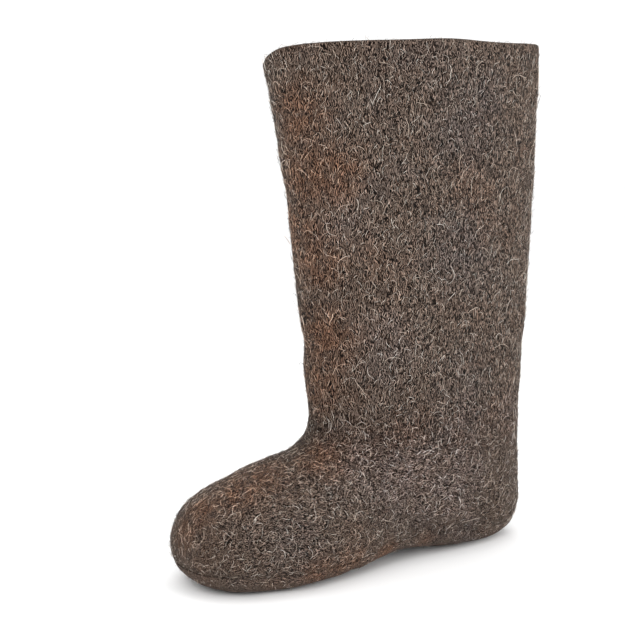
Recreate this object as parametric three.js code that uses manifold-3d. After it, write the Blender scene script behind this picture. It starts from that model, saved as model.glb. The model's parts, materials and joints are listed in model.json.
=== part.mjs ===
// A felt boot, fulled from wool over a straight last that serves either foot.
// The upper is one hollow piece, foot and shaft together. A thicker felt sole closes it
// underneath, and a loose felt insole lies inside.
// Millimetres, +Z up: the toe points to -Y, X runs across, and the sole stands on z = 0.
import * as THREE from "three";
import { mergeVertices } from "three/addons/utils/BufferGeometryUtils.js";
import Module from "manifold-3d";

const wasm = await Module();
wasm.setup();

// The foot, outside. Along is measured from the back of the heel towards the toe.
const footLength = 287;
const ballWidth = 113;
const waistWidth = 98;
const heelWidth = 90;
const toeWidth = 102; // where the toe cap begins
const toeCapLength = 51;
const toeCapHeight = 71;
const toeTipHeight = 28; // the foremost point of the toe above the floor
const vampHeight = 77; // over the ball
const vampAlong = 221; // where the vamp is that high
const instepHeight = 87; // at the throat, where the foot turns up into the shaft
const archRise = 6;
const toeSpring = 3;
const soleSettle = 1.2; // how much of the rounded underside is flattened where it stands

// The shaft, outside.
const ankleFront = 178.5; // how far along the front of the ankle stands
const throatReach = 14.5; // how far the throat stands in front of it
const ankleHeight = 162; // where the front becomes straight
const ankleBackHeight = 125; // where the back becomes straight
const ankleBack = 4; // how far the back of the ankle stands behind the heel
const ankleWidth = 98;
const bootHeight = 375; // to the back of the collar
const collarDepth = 230;
const collarWidth = 117;
const collarBack = 21.5; // how far the back of the collar stands behind the heel
const collarFall = 7.5; // how much lower the front of the collar is than its back
const backBulge = 2.5; // how far the back swells between ankle and collar
const frontBulge = 2.5; // how far the front swells over the ankle and hollows above that

// The felt.
const upperWall = 7;
const soleThickness = 14;
const soleStep = 0.8; // the sole stands proud of the upper by this much
const insoleThickness = 6;
const collarRounding = 2.6;
const seamGap = 0.3; // between the upper and the sole felted to it
const insoleClearance = 0.6;

// How finely the forms are divided.
const ringsAlong = 46;
const pointsAround = 40;
const rimRings = 3;
const featherSteps = 20;
const mergeDistance = 1e-4;

// Colours of the felt.
const feltBrown = 0x4a3c33;
const soleBrown = 0x54463d;
const insoleGrey = 0x6b6159;

// Sections of the toe cap, from its tip back. along is a share of toeCapLength, spread of
// toeWidth, rise of the way from the tip up to toeCapHeight, and fall of the way from the tip
// down to the underside. widest is how far up a section it is widest, as a share of its
// height, and belly how square it is below that: 2 is an ellipse.
const toeSections = [
  { along: 1.0, rise: 0.0, fall: 0.0, spread: 0.0, widest: 0.45, belly: 2.4 },
  { along: 0.97, rise: 0.3, fall: 0.345, spread: 0.31, widest: 0.45, belly: 2.4 },
  { along: 0.86, rise: 0.56, fall: 0.645, spread: 0.56, widest: 0.45, belly: 2.4 },
  { along: 0.62, rise: 0.8, fall: 0.92, spread: 0.8, widest: 0.45, belly: 2.4 },
  { along: 0.25, rise: 0.95, fall: 1.0, spread: 0.95, widest: 0.43, belly: 2.8 },
];
const toeCrown = 2.0;

// Sections of the vamp. bottom is a share of footLength, forward of the way from the throat
// to vampAlong, and drop of the way from instepHeight down to vampHeight.
const vampSections = [
  { name: "ball", bottom: 0.74, forward: 1.0, drop: 1.0, width: ballWidth,
    widest: 0.42, belly: 3.0 },
  { name: "instep", bottom: 0.58, forward: 0.5, drop: 0.55, width: 0.97 * ballWidth,
    widest: 0.43, belly: 2.35 },
  { name: "waist", bottom: 0.42, forward: 0.0, drop: 0.0, width: waistWidth,
    widest: 0.45, belly: 2.15 },
];

// Sections that fan round the throat, from the breast of the heel up its back to the ankle.
// bottom is a share of footLength, up of ankleBackHeight, behind of ankleBack, lean of
// throatReach, and climb of the way from instepHeight to ankleHeight.
const heelSections = [
  { name: "breast", bottom: 0.26, up: 0.0, behind: 0.0, lean: 0.32, climb: 0.13,
    width: 1.03 * heelWidth, widest: 0.46, belly: 2.15 },
  { name: "seat", bottom: 0.11, up: 0.0, behind: 0.0, lean: 0.03, climb: 0.28,
    width: heelWidth, widest: 0.47, belly: 2.25 },
  { name: "curve", bottom: 0.024, up: 0.065, behind: 0.0, lean: -0.02, climb: 0.43,
    width: 1.02 * heelWidth, widest: 0.48, belly: 2.25 },
  { name: "back", bottom: 0.0, up: 0.24, behind: 0.0, lean: 0.02, climb: 0.58,
    width: 0.96 * ankleWidth, widest: 0.49, belly: 2.25 },
  { name: "counter", bottom: 0.0, up: 0.56, behind: 0.2, lean: 0.1, climb: 0.76,
    width: 0.98 * ankleWidth, widest: 0.5, belly: 2.2 },
  { name: "ankle", bottom: 0.0, up: 1.0, behind: 1.0, lean: 0.17, climb: 1.0,
    width: ankleWidth, widest: 0.5, belly: 2.1 },
];

// Sections of the shaft. up is a share of the way from the ankle to the collar, front of
// frontBulge and back of backBulge.
const shaftSections = [
  { up: 0.25, front: 0.3, back: 0.8 },
  { up: 0.5, front: -0.5, back: 1.0 },
  { up: 0.75, front: 0.0, back: 0.6 },
  { up: 1.0, front: 0.0, back: 0.0 },
];
const shaftWidest = 0.5;
const shaftBelly = 2.1;
const footCrown = 2.1; // how square the sections behind the toe cap are above their widest

// The underside arches up between heel and ball and springs up at the toe. Where it does is
// given in shares of footLength.
const archCentre = 0.42;
const archReach = 0.22;
const springStart = 0.76;

function undersideRise(along) {
  const share = along / footLength;
  const arch = Math.max(0, 1 - Math.abs(share - archCentre) / archReach);
  const spring = Math.max(0, (share - springStart) / (1 - springStart));
  return archRise * arch * arch * (3 - 2 * arch) + toeSpring * spring * spring;
}

// Every section as its lowest and highest point (along, up), its half width and its shape.
function sectionRows() {
  const { lerp } = THREE.MathUtils;
  const rows = [];
  const addRow = (bottom, top, width, widest, belly, crown) => {
    rows.push({ bottom, top, halfWidth: width / 2, widest, belly, crown });
  };

  for (const s of toeSections) {
    const along = footLength - toeCapLength * (1 - s.along);
    const floor = undersideRise(along) - soleSettle;
    addRow([along, lerp(toeTipHeight, floor, s.fall)],
      [along, lerp(toeTipHeight, toeCapHeight, s.rise)],
      s.spread * toeWidth, s.widest, s.belly, toeCrown);
  }

  const throatAlong = ankleFront + throatReach;
  for (const s of vampSections) {
    const along = s.bottom * footLength;
    addRow([along, undersideRise(along) - soleSettle],
      [lerp(throatAlong, vampAlong, s.forward), lerp(instepHeight, vampHeight, s.drop)],
      s.width, s.widest, s.belly, footCrown);
  }

  for (const s of heelSections) {
    const along = s.bottom * footLength - s.behind * ankleBack;
    const floor = s.up > 0 ? s.up * ankleBackHeight : undersideRise(along) - soleSettle;
    addRow([along, floor],
      [ankleFront + s.lean * throatReach, lerp(instepHeight, ankleHeight, s.climb)],
      s.width, s.widest, s.belly, footCrown);
  }

  const collarFront = collarDepth - collarBack;
  for (const s of shaftSections) {
    const back = lerp(-ankleBack, -collarBack, s.up) - s.back * backBulge;
    const front = lerp(ankleFront, collarFront, s.up) + s.front * frontBulge;
    addRow([back, lerp(ankleBackHeight, bootHeight, s.up)],
      [front, lerp(ankleHeight, bootHeight - collarFall, s.up)],
      lerp(ankleWidth, collarWidth, s.up), shaftWidest, shaftBelly, footCrown);
  }
  return rows;
}

const rows = sectionRows();
const curveThrough = (points) => new THREE.CatmullRomCurve3(points, false, "catmullrom", 0.5);
const bottomLine = curveThrough(rows.map((row) => new THREE.Vector3(...row.bottom, row.widest)));
const topLine = curveThrough(rows.map((row) => new THREE.Vector3(...row.top, row.halfWidth)));
const roundness = curveThrough(rows.map((row) => new THREE.Vector3(row.belly, row.crown, 0)));

// One closed section, from its lowest point up the +X side, over the top and down the -X side.
function ringAt(share) {
  const low = bottomLine.getPoint(share);
  const high = topLine.getPoint(share);
  const round = roundness.getPoint(share);
  const widest = low.z;
  const ring = [];
  for (let k = 0; k < pointsAround; k++) {
    const angle = (2 * Math.PI * k) / pointsAround;
    const below = Math.cos(angle) > 0;
    const power = 2 / (below ? round.x : round.y);
    const reach = Math.abs(Math.cos(angle)) ** power;
    const part = below ? widest * (1 - reach) : widest + (1 - widest) * reach;
    const across = Math.sign(Math.sin(angle)) * high.z * Math.abs(Math.sin(angle)) ** power;
    const along = THREE.MathUtils.lerp(low.x, high.x, part);
    const up = THREE.MathUtils.lerp(low.y, high.y, part);
    ring.push(new THREE.Vector3(across, -along, Math.max(up, 0)));
  }
  return ring;
}

// How much of the whole run of sections the rounding of the collar takes up.
const collarRun = (bootHeight - ankleBackHeight) / shaftSections.length;
const roundingShare = collarRounding / collarRun / (rows.length - 1);

// The outward normal at point k of ring i, from the points beside it.
function normalAt(rings, i, k) {
  const before = rings[i][(k + pointsAround - 1) % pointsAround];
  const after = rings[i][(k + 1) % pointsAround];
  const lower = rings[Math.max(i - 1, 0)][k];
  const higher = rings[Math.min(i + 1, rings.length - 1)][k];
  const around = new THREE.Vector3().subVectors(after, before);
  const upward = new THREE.Vector3().subVectors(higher, lower);
  return upward.cross(around).normalize();
}

// The whole form, moved inwards by inset all round. Over the last rings the collar turns in
// by rim, or flares where rim is negative. overshoot carries the form on above the collar.
function formRings(inset, rim, overshoot) {
  const rings = [];
  const turns = [];
  for (let i = 1; i < ringsAlong; i++) {
    rings.push(ringAt(((1 - roundingShare) * i) / (ringsAlong - 1)));
    turns.push(0);
  }
  for (let i = 1; i <= rimRings; i++) {
    const angle = (Math.PI / 2) * (i / rimRings);
    rings.push(ringAt(1 - roundingShare * (1 - Math.sin(angle))));
    turns.push(rim * (1 - Math.cos(angle)));
  }

  const moved = rings.map((ring, i) => ring.map((point, k) => {
    const out = point.clone().addScaledVector(normalAt(rings, i, k), -inset - turns[i]);
    const level = i >= ringsAlong - 1;
    out.z = level ? point.z : Math.max(out.z, 0);
    return out;
  }));
  if (overshoot > 0) {
    const last = moved[moved.length - 1];
    moved.push(last.map((point) => new THREE.Vector3(point.x, point.y, point.z + overshoot)));
  }
  const tip = new THREE.Vector3(0, -footLength + inset, toeTipHeight);
  return { tip, rings: moved };
}

function toManifold(positions, triangles) {
  const mesh = new wasm.Mesh({
    numProp: 3,
    vertProperties: new Float32Array(positions),
    triVerts: new Uint32Array(triangles),
  });
  return new wasm.Manifold(mesh);
}

// A closed solid from the tip through every ring to a flat lid over the last one.
function solidFrom({ tip, rings }) {
  const positions = [tip.x, tip.y, tip.z];
  for (const ring of rings) {
    for (const point of ring) positions.push(point.x, point.y, point.z);
  }
  const last = rings[rings.length - 1];
  const middle = new THREE.Vector3();
  for (const point of last) middle.addScaledVector(point, 1 / pointsAround);
  positions.push(middle.x, middle.y, middle.z);
  const lid = positions.length / 3 - 1;
  const at = (i, k) => 1 + i * pointsAround + (k % pointsAround);

  const triangles = [];
  for (let k = 0; k < pointsAround; k++) {
    triangles.push(0, at(0, k), at(0, k + 1));
    for (let i = 0; i < rings.length - 1; i++) {
      triangles.push(at(i, k), at(i + 1, k), at(i + 1, k + 1));
      triangles.push(at(i, k), at(i + 1, k + 1), at(i, k + 1));
    }
    triangles.push(lid, at(rings.length - 1, k + 1), at(rings.length - 1, k));
  }
  return toManifold(positions, triangles);
}

// The slab between two lines that follow the underside of the foot, right across it.
function slabBetween(lower, upper) {
  const places = [];
  for (let i = 0; i <= featherSteps; i++) places.push((footLength * i) / featherSteps);
  const start = -collarDepth;
  const end = footLength + collarDepth;
  const outline = new THREE.Shape();
  outline.moveTo(start, upper(0));
  for (const along of places) outline.lineTo(along, upper(along));
  outline.lineTo(end, upper(footLength));
  outline.lineTo(end, lower(footLength));
  for (const along of [...places].reverse()) outline.lineTo(along, lower(along));
  outline.lineTo(start, lower(0));
  outline.closePath();

  const width = 2 * ballWidth;
  const slab = new THREE.ExtrudeGeometry(outline, { depth: width, bevelEnabled: false, steps: 1 });
  const toToe = new THREE.Vector3(0, -1, 0);
  const toCollar = new THREE.Vector3(0, 0, 1);
  const across = new THREE.Vector3(-1, 0, 0);
  slab.applyMatrix4(new THREE.Matrix4().makeBasis(toToe, toCollar, across).setPosition(width / 2, 0, 0));
  slab.deleteAttribute("normal");
  slab.deleteAttribute("uv");
  const merged = mergeVertices(slab, mergeDistance);
  return toManifold(merged.attributes.position.array, merged.index.array);
}

function toMesh(name, solid, color) {
  const data = solid.getMesh();
  const geometry = new THREE.BufferGeometry();
  geometry.setAttribute("position", new THREE.Float32BufferAttribute(data.vertProperties, 3));
  geometry.setIndex(Array.from(data.triVerts));
  const merged = mergeVertices(geometry, mergeDistance);
  merged.computeVertexNormals();
  const mesh = new THREE.Mesh(merged, new THREE.MeshStandardMaterial({ color, roughness: 1 }));
  mesh.name = name;
  return mesh;
}

// Heights along the foot: under everything, the top of the sole, the cut edge of the upper
// with the insole's underside, and the insole's top.
const underneath = () => -soleThickness;
const featherLine = (along) => undersideRise(along) + soleThickness;
const seatLine = (along) => featherLine(along) + seamGap;
const insoleTop = (along) => seatLine(along) + insoleThickness;

const outside = solidFrom(formRings(0, collarRounding, 0));
const inside = solidFrom(formRings(upperWall, -collarRounding, upperWall));
const soleForm = solidFrom(formRings(-soleStep, 0, 0));
const insoleForm = solidFrom(formRings(upperWall + insoleClearance, 0, 0));
const upper = outside.subtract(inside).subtract(slabBetween(underneath, seatLine));
const sole = soleForm.intersect(slabBetween(underneath, featherLine));
const insole = insoleForm.intersect(slabBetween(seatLine, insoleTop));

const boot = new THREE.Group();
boot.name = "felt_boot";
boot.add(toMesh("upper", upper, feltBrown));
boot.add(toMesh("sole", sole, soleBrown));
boot.add(toMesh("insole", insole, insoleGrey));

// The middle of the bounding box stands over the origin.
const centre = new THREE.Box3().setFromObject(boot).getCenter(new THREE.Vector3());
boot.position.set(-centre.x, -centre.y, 0);

export default boot;
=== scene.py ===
"""A tall boot of fulled wool felt: upper, sole and loose insole, with the hairs that stand out of them.

The forms are lofted from the boot's own sections, in millimetres. Along is measured from the back of the
heel towards the toe, across to the side and up from the floor. Meshes are made in metres.
"""

from __future__ import annotations

import itertools
import json
import logging
import math
from collections.abc import Callable, Sequence
from dataclasses import dataclass, field
from enum import Enum
from typing import ClassVar

import bpy
import numpy as np
from mathutils import Matrix, Vector
from mathutils.bvhtree import BVHTree

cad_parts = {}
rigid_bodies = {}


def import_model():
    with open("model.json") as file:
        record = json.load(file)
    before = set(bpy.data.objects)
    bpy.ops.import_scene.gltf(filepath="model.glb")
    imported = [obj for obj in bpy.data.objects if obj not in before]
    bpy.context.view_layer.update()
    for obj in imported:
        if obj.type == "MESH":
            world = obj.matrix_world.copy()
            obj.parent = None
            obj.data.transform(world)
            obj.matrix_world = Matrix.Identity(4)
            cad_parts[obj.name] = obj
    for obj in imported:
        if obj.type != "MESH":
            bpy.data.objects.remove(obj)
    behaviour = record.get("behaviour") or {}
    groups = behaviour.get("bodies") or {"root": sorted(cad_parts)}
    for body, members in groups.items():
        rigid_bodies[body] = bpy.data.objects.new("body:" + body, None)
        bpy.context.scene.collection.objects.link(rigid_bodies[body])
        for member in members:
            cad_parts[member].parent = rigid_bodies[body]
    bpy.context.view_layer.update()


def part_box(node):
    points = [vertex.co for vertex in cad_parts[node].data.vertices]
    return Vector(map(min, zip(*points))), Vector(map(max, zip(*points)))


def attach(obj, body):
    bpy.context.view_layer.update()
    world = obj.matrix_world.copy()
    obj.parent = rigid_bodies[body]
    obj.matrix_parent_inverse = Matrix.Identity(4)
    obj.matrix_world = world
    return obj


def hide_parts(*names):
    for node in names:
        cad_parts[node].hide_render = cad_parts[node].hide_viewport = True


LOG = logging.getLogger("felt_boot")
MM = 0.001
TINY = 1e-9

# Attributes that the felt and its hairs carry

LIE = "lie"
TONE = "tone"

# Short names for types

Colour = tuple[float, float, float]
Triple = tuple[float, float, float]
Span = tuple[float, float]
Mapped = tuple[float, float, float, float]
Faces = list[tuple[int, ...]]
Piece = bpy.types.Object
Material = bpy.types.Material
Socket = bpy.types.NodeSocket
HeightLine = Callable[[np.ndarray], np.ndarray]


def srgb(red: int, green: int, blue: int) -> Colour:
    """Turns an 8-bit screen colour into a linear one.

    Args:
        red: the red channel, 0 to 255.
        green: the green channel.
        blue: the blue channel.

    Returns:
        The same colour as linear light, by the standard curve.
    """
    def linear(value: int) -> float:
        """Returns one channel as linear light."""
        share = value / 255
        return share / 12.92 if share <= 0.04045 else ((share + 0.055) / 1.055) ** 2.4
    return linear(red), linear(green), linear(blue)


def ramp(value: np.ndarray, low: float, high: float) -> np.ndarray:
    """Returns a smooth step from 0 at low to 1 at high."""
    share = np.clip((value - low) / (high - low), 0.0, 1.0)
    return share * share * (3.0 - 2.0 * share)


# The form


@dataclass(frozen=True)
class ToeSection:
    """A section of the toe cap, in shares of the cap's length, heights and width."""

    along: float
    rise: float
    fall: float
    spread: float
    widest: float
    belly: float


@dataclass(frozen=True)
class VampSection:
    """A section between ball and throat, in shares of the foot's length and of the way to the ball."""

    bottom: float
    forward: float
    drop: float
    width: float
    widest: float
    belly: float


@dataclass(frozen=True)
class HeelSection:
    """A section that fans round the throat, from the heel's breast to the ankle."""

    bottom: float
    up: float
    behind: float
    lean: float
    climb: float
    width: float
    widest: float
    belly: float


@dataclass(frozen=True)
class ShaftSection:
    """A section of the shaft: a share of the way up, and of the front's and the back's bulge."""

    up: float
    front: float
    back: float


@dataclass
class BootForm:
    """The boot's outside as a run of closed sections from the toe's tip to the collar."""

    heel_y: float
    foot_length: float = 287.0
    ball_width: float = 113.0
    waist_width: float = 98.0
    heel_width: float = 90.0
    toe_width: float = 102.0
    toe_cap_length: float = 51.0
    toe_cap_height: float = 71.0
    toe_tip_height: float = 28.0
    vamp_height: float = 77.0
    vamp_along: float = 221.0
    instep_height: float = 87.0
    arch_rise: float = 6.0
    toe_spring: float = 3.0
    sole_settle: float = 1.2
    ankle_front: float = 178.5
    throat_reach: float = 14.5
    ankle_height: float = 162.0
    ankle_back_height: float = 125.0
    ankle_back: float = 4.0
    ankle_width: float = 98.0
    boot_height: float = 375.0
    collar_depth: float = 230.0
    collar_width: float = 117.0
    collar_back: float = 21.5
    collar_fall: float = 7.5
    back_bulge: float = 2.5
    front_bulge: float = 2.5
    arch_centre: float = 0.42
    arch_reach: float = 0.22
    spring_start: float = 0.76
    crown: float = 2.1
    toe_crown: float = 2.0
    shaft_widest: float = 0.5
    shaft_belly: float = 2.1
    fine_steps: int = 4001
    rows: np.ndarray = field(init=False)

    def __post_init__(self) -> None:
        """Works out the sections once."""
        self.rows = np.array(self._toe_rows() + self._vamp_rows() + self._heel_rows() + self._shaft_rows())

    def underside(self, along: np.ndarray) -> np.ndarray:
        """Works out how far the underside stands off the floor.

        Args:
            along: places along the foot, in millimetres from the back of the heel.

        Returns:
            Millimetres above the floor, for each place.
        """
        share = np.asarray(along, float) / self.foot_length
        arch = np.maximum(0.0, 1.0 - np.abs(share - self.arch_centre) / self.arch_reach)
        spring = np.maximum(0.0, (share - self.spring_start) / (1.0 - self.spring_start))
        return self.arch_rise * arch * arch * (3.0 - 2.0 * arch) + self.toe_spring * spring * spring

    def _floor(self, along: float) -> float:
        """Returns the lowest point of a section at that place, before the floor flattens it."""
        return float(self.underside(along)) - self.sole_settle

    def _toe_rows(self) -> list[list[float]]:
        """Works out the toe cap's sections.

        Returns:
            Rows of eight numbers: the lowest point along and up, the highest point along and up, half the
            width, where it is widest, and the power of its curve below and above that place.
        """
        table = (
            ToeSection(1.0, 0.0, 0.0, 0.0, 0.45, 2.4),
            ToeSection(0.97, 0.3, 0.345, 0.31, 0.45, 2.4),
            ToeSection(0.86, 0.56, 0.645, 0.56, 0.45, 2.4),
            ToeSection(0.62, 0.8, 0.92, 0.8, 0.45, 2.4),
            ToeSection(0.25, 0.95, 1.0, 0.95, 0.43, 2.8),
        )
        rows = []
        for s in table:
            along = self.foot_length - self.toe_cap_length * (1.0 - s.along)
            low = self.toe_tip_height + (self._floor(along) - self.toe_tip_height) * s.fall
            high = self.toe_tip_height + (self.toe_cap_height - self.toe_tip_height) * s.rise
            half = s.spread * self.toe_width / 2
            rows.append([along, low, along, high, half, s.widest, s.belly, self.toe_crown])
        return rows

    def _vamp_rows(self) -> list[list[float]]:
        """Works out the sections from the ball to the waist.

        Returns:
            Rows like those of the toe cap.
        """
        table = (
            VampSection(0.74, 1.0, 1.0, self.ball_width, 0.42, 3.0),
            VampSection(0.58, 0.5, 0.55, 0.97 * self.ball_width, 0.43, 2.35),
            VampSection(0.42, 0.0, 0.0, self.waist_width, 0.45, 2.15),
        )
        throat = self.ankle_front + self.throat_reach
        rows = []
        for s in table:
            along = s.bottom * self.foot_length
            top = throat + (self.vamp_along - throat) * s.forward
            high = self.instep_height + (self.vamp_height - self.instep_height) * s.drop
            rows.append([along, self._floor(along), top, high, s.width / 2, s.widest, s.belly, self.crown])
        return rows

    def _heel_rows(self) -> list[list[float]]:
        """Works out the sections that fan round the throat.

        Returns:
            Rows like those of the toe cap.
        """
        table = (
            HeelSection(0.26, 0.0, 0.0, 0.32, 0.13, 1.03 * self.heel_width, 0.46, 2.15),
            HeelSection(0.11, 0.0, 0.0, 0.03, 0.28, self.heel_width, 0.47, 2.25),
            HeelSection(0.024, 0.065, 0.0, -0.02, 0.43, 1.02 * self.heel_width, 0.48, 2.25),
            HeelSection(0.0, 0.24, 0.0, 0.02, 0.58, 0.96 * self.ankle_width, 0.49, 2.25),
            HeelSection(0.0, 0.56, 0.2, 0.1, 0.76, 0.98 * self.ankle_width, 0.5, 2.2),
            HeelSection(0.0, 1.0, 1.0, 0.17, 1.0, self.ankle_width, 0.5, 2.1),
        )
        rows = []
        for s in table:
            along = s.bottom * self.foot_length - s.behind * self.ankle_back
            low = s.up * self.ankle_back_height if s.up > 0 else self._floor(along)
            high = self.instep_height + (self.ankle_height - self.instep_height) * s.climb
            top = self.ankle_front + s.lean * self.throat_reach
            rows.append([along, low, top, high, s.width / 2, s.widest, s.belly, self.crown])
        return rows

    def _shaft_rows(self) -> list[list[float]]:
        """Works out the sections of the shaft.

        Returns:
            Rows like those of the toe cap.
        """
        table = (
            ShaftSection(0.25, 0.3, 0.8),
            ShaftSection(0.5, -0.5, 1.0),
            ShaftSection(0.75, 0.0, 0.6),
            ShaftSection(1.0, 0.0, 0.0),
        )
        front_top = self.collar_depth - self.collar_back
        rows = []
        for s in table:
            back = -self.ankle_back + (self.ankle_back - self.collar_back) * s.up - s.back * self.back_bulge
            low = self.ankle_back_height + (self.boot_height - self.ankle_back_height) * s.up
            front = self.ankle_front + (front_top - self.ankle_front) * s.up + s.front * self.front_bulge
            high = self.ankle_height + (self.boot_height - self.collar_fall - self.ankle_height) * s.up
            width = self.ankle_width + (self.collar_width - self.ankle_width) * s.up
            rows.append([back, low, front, high, width / 2, self.shaft_widest, self.shaft_belly, self.crown])
        return rows

    def row_at(self, share: np.ndarray) -> np.ndarray:
        """Returns the section rows at shares of the run, on a smooth curve through the given ones.

        Args:
            share: places on the run, from 0 at the toe's tip to 1 at the collar.

        Returns:
            One row of eight numbers for each place.
        """
        count = len(self.rows)
        place = np.asarray(share, float) * (count - 1)
        first = np.clip(np.floor(place).astype(int), 0, count - 2)
        part = (place - first)[:, None]
        padded = np.vstack([2 * self.rows[0] - self.rows[1], self.rows, 2 * self.rows[-1] - self.rows[-2]])
        before, start, end, after = (padded[first + k] for k in range(4))
        slope_in = (end - before) / 2
        slope_out = (after - start) / 2
        cubic = 2 * start - 2 * end + slope_in + slope_out
        square = -3 * start + 3 * end - 2 * slope_in - slope_out
        return cubic * part ** 3 + square * part ** 2 + slope_in * part + start

    def even_shares(self, spacing: float) -> np.ndarray:
        """Finds evenly spaced places on the run.

        Args:
            spacing: how far apart they are on its longer side, in millimetres.

        Returns:
            Shares of the run, from 0 at the toe's tip to 1 at the collar.
        """
        fine = np.linspace(0.0, 1.0, self.fine_steps)
        rows = self.row_at(fine)
        low = np.hypot(np.diff(rows[:, 0]), np.diff(rows[:, 1]))
        high = np.hypot(np.diff(rows[:, 2]), np.diff(rows[:, 3]))
        spread = np.abs(np.diff(rows[:, 4]))
        length = np.concatenate([[0.0], np.cumsum(np.maximum(np.maximum(low, high), spread))])
        count = int(length[-1] / spacing)
        return np.interp(np.linspace(0.0, length[-1], count), length, fine)

    def rings(self, share: np.ndarray, around: int) -> np.ndarray:
        """Returns the points of the sections, from the lowest point up the +X side and round.

        Args:
            share: places on the run.
            around: how many points each section has.

        Returns:
            An array of sections by points by (x, y, z), in millimetres.
        """
        rows = self.row_at(share)
        angle = 2 * math.pi * np.arange(around) / around
        sine, cosine = np.sin(angle), np.cos(angle)
        below = cosine > 0
        widest = rows[:, 5:6]
        power = 2.0 / np.where(below, rows[:, 6:7], rows[:, 7:8])
        reach = np.abs(cosine) ** power
        part = np.where(below, widest * (1 - reach), widest + (1 - widest) * reach)
        across = np.maximum(rows[:, 4:5], 0.0) * np.sign(sine) * np.abs(sine) ** power
        along = rows[:, 0:1] + (rows[:, 2:3] - rows[:, 0:1]) * part
        up = np.maximum(rows[:, 1:2] + (rows[:, 3:4] - rows[:, 1:2]) * part, 0.0)
        return np.stack([across, self.heel_y - along, up], axis=2)


class Side(Enum):
    """Which side of the boot a crease is on."""

    BOTH = 0
    PLUS = 1
    MINUS = -1


@dataclass(frozen=True)
class Crease:
    """A soft trough, or a ridge where its depth is negative, on the boot's side.

    Attributes:
        path: the points (along, up) that it runs through.
        depth: how deep it is.
        width: how far from its middle it has faded to a third.
        side: the side it is on.
        blend: how far from the middle plane a crease on one side has its full depth.
    """

    path: tuple[tuple[float, float], ...]
    depth: float
    width: float
    side: Side = Side.BOTH
    blend: float = 8.0

    def at(self, along: np.ndarray, up: np.ndarray, across: np.ndarray) -> np.ndarray:
        """Works out how far each point sinks in.

        Args:
            along: where the points lie along the foot.
            up: how high they lie.
            across: how far they lie to the side.

        Returns:
            Millimetres, negative on a ridge.
        """
        nearest = np.full(along.shape, np.inf)
        for (a0, u0), (a1, u1) in zip(self.path[:-1], self.path[1:]):
            run = np.array([a1 - a0, u1 - u0])
            share = ((along - a0) * run[0] + (up - u0) * run[1]) / float(run @ run)
            share = np.clip(share, 0.0, 1.0)
            away = np.hypot(along - a0 - share * run[0], up - u0 - share * run[1])
            nearest = np.minimum(nearest, away)
        fade = np.exp(-(nearest / self.width) ** 2)
        if self.side is not Side.BOTH:
            fade = fade * ramp(across * self.side.value, -self.blend, self.blend)
        return self.depth * fade


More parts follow.
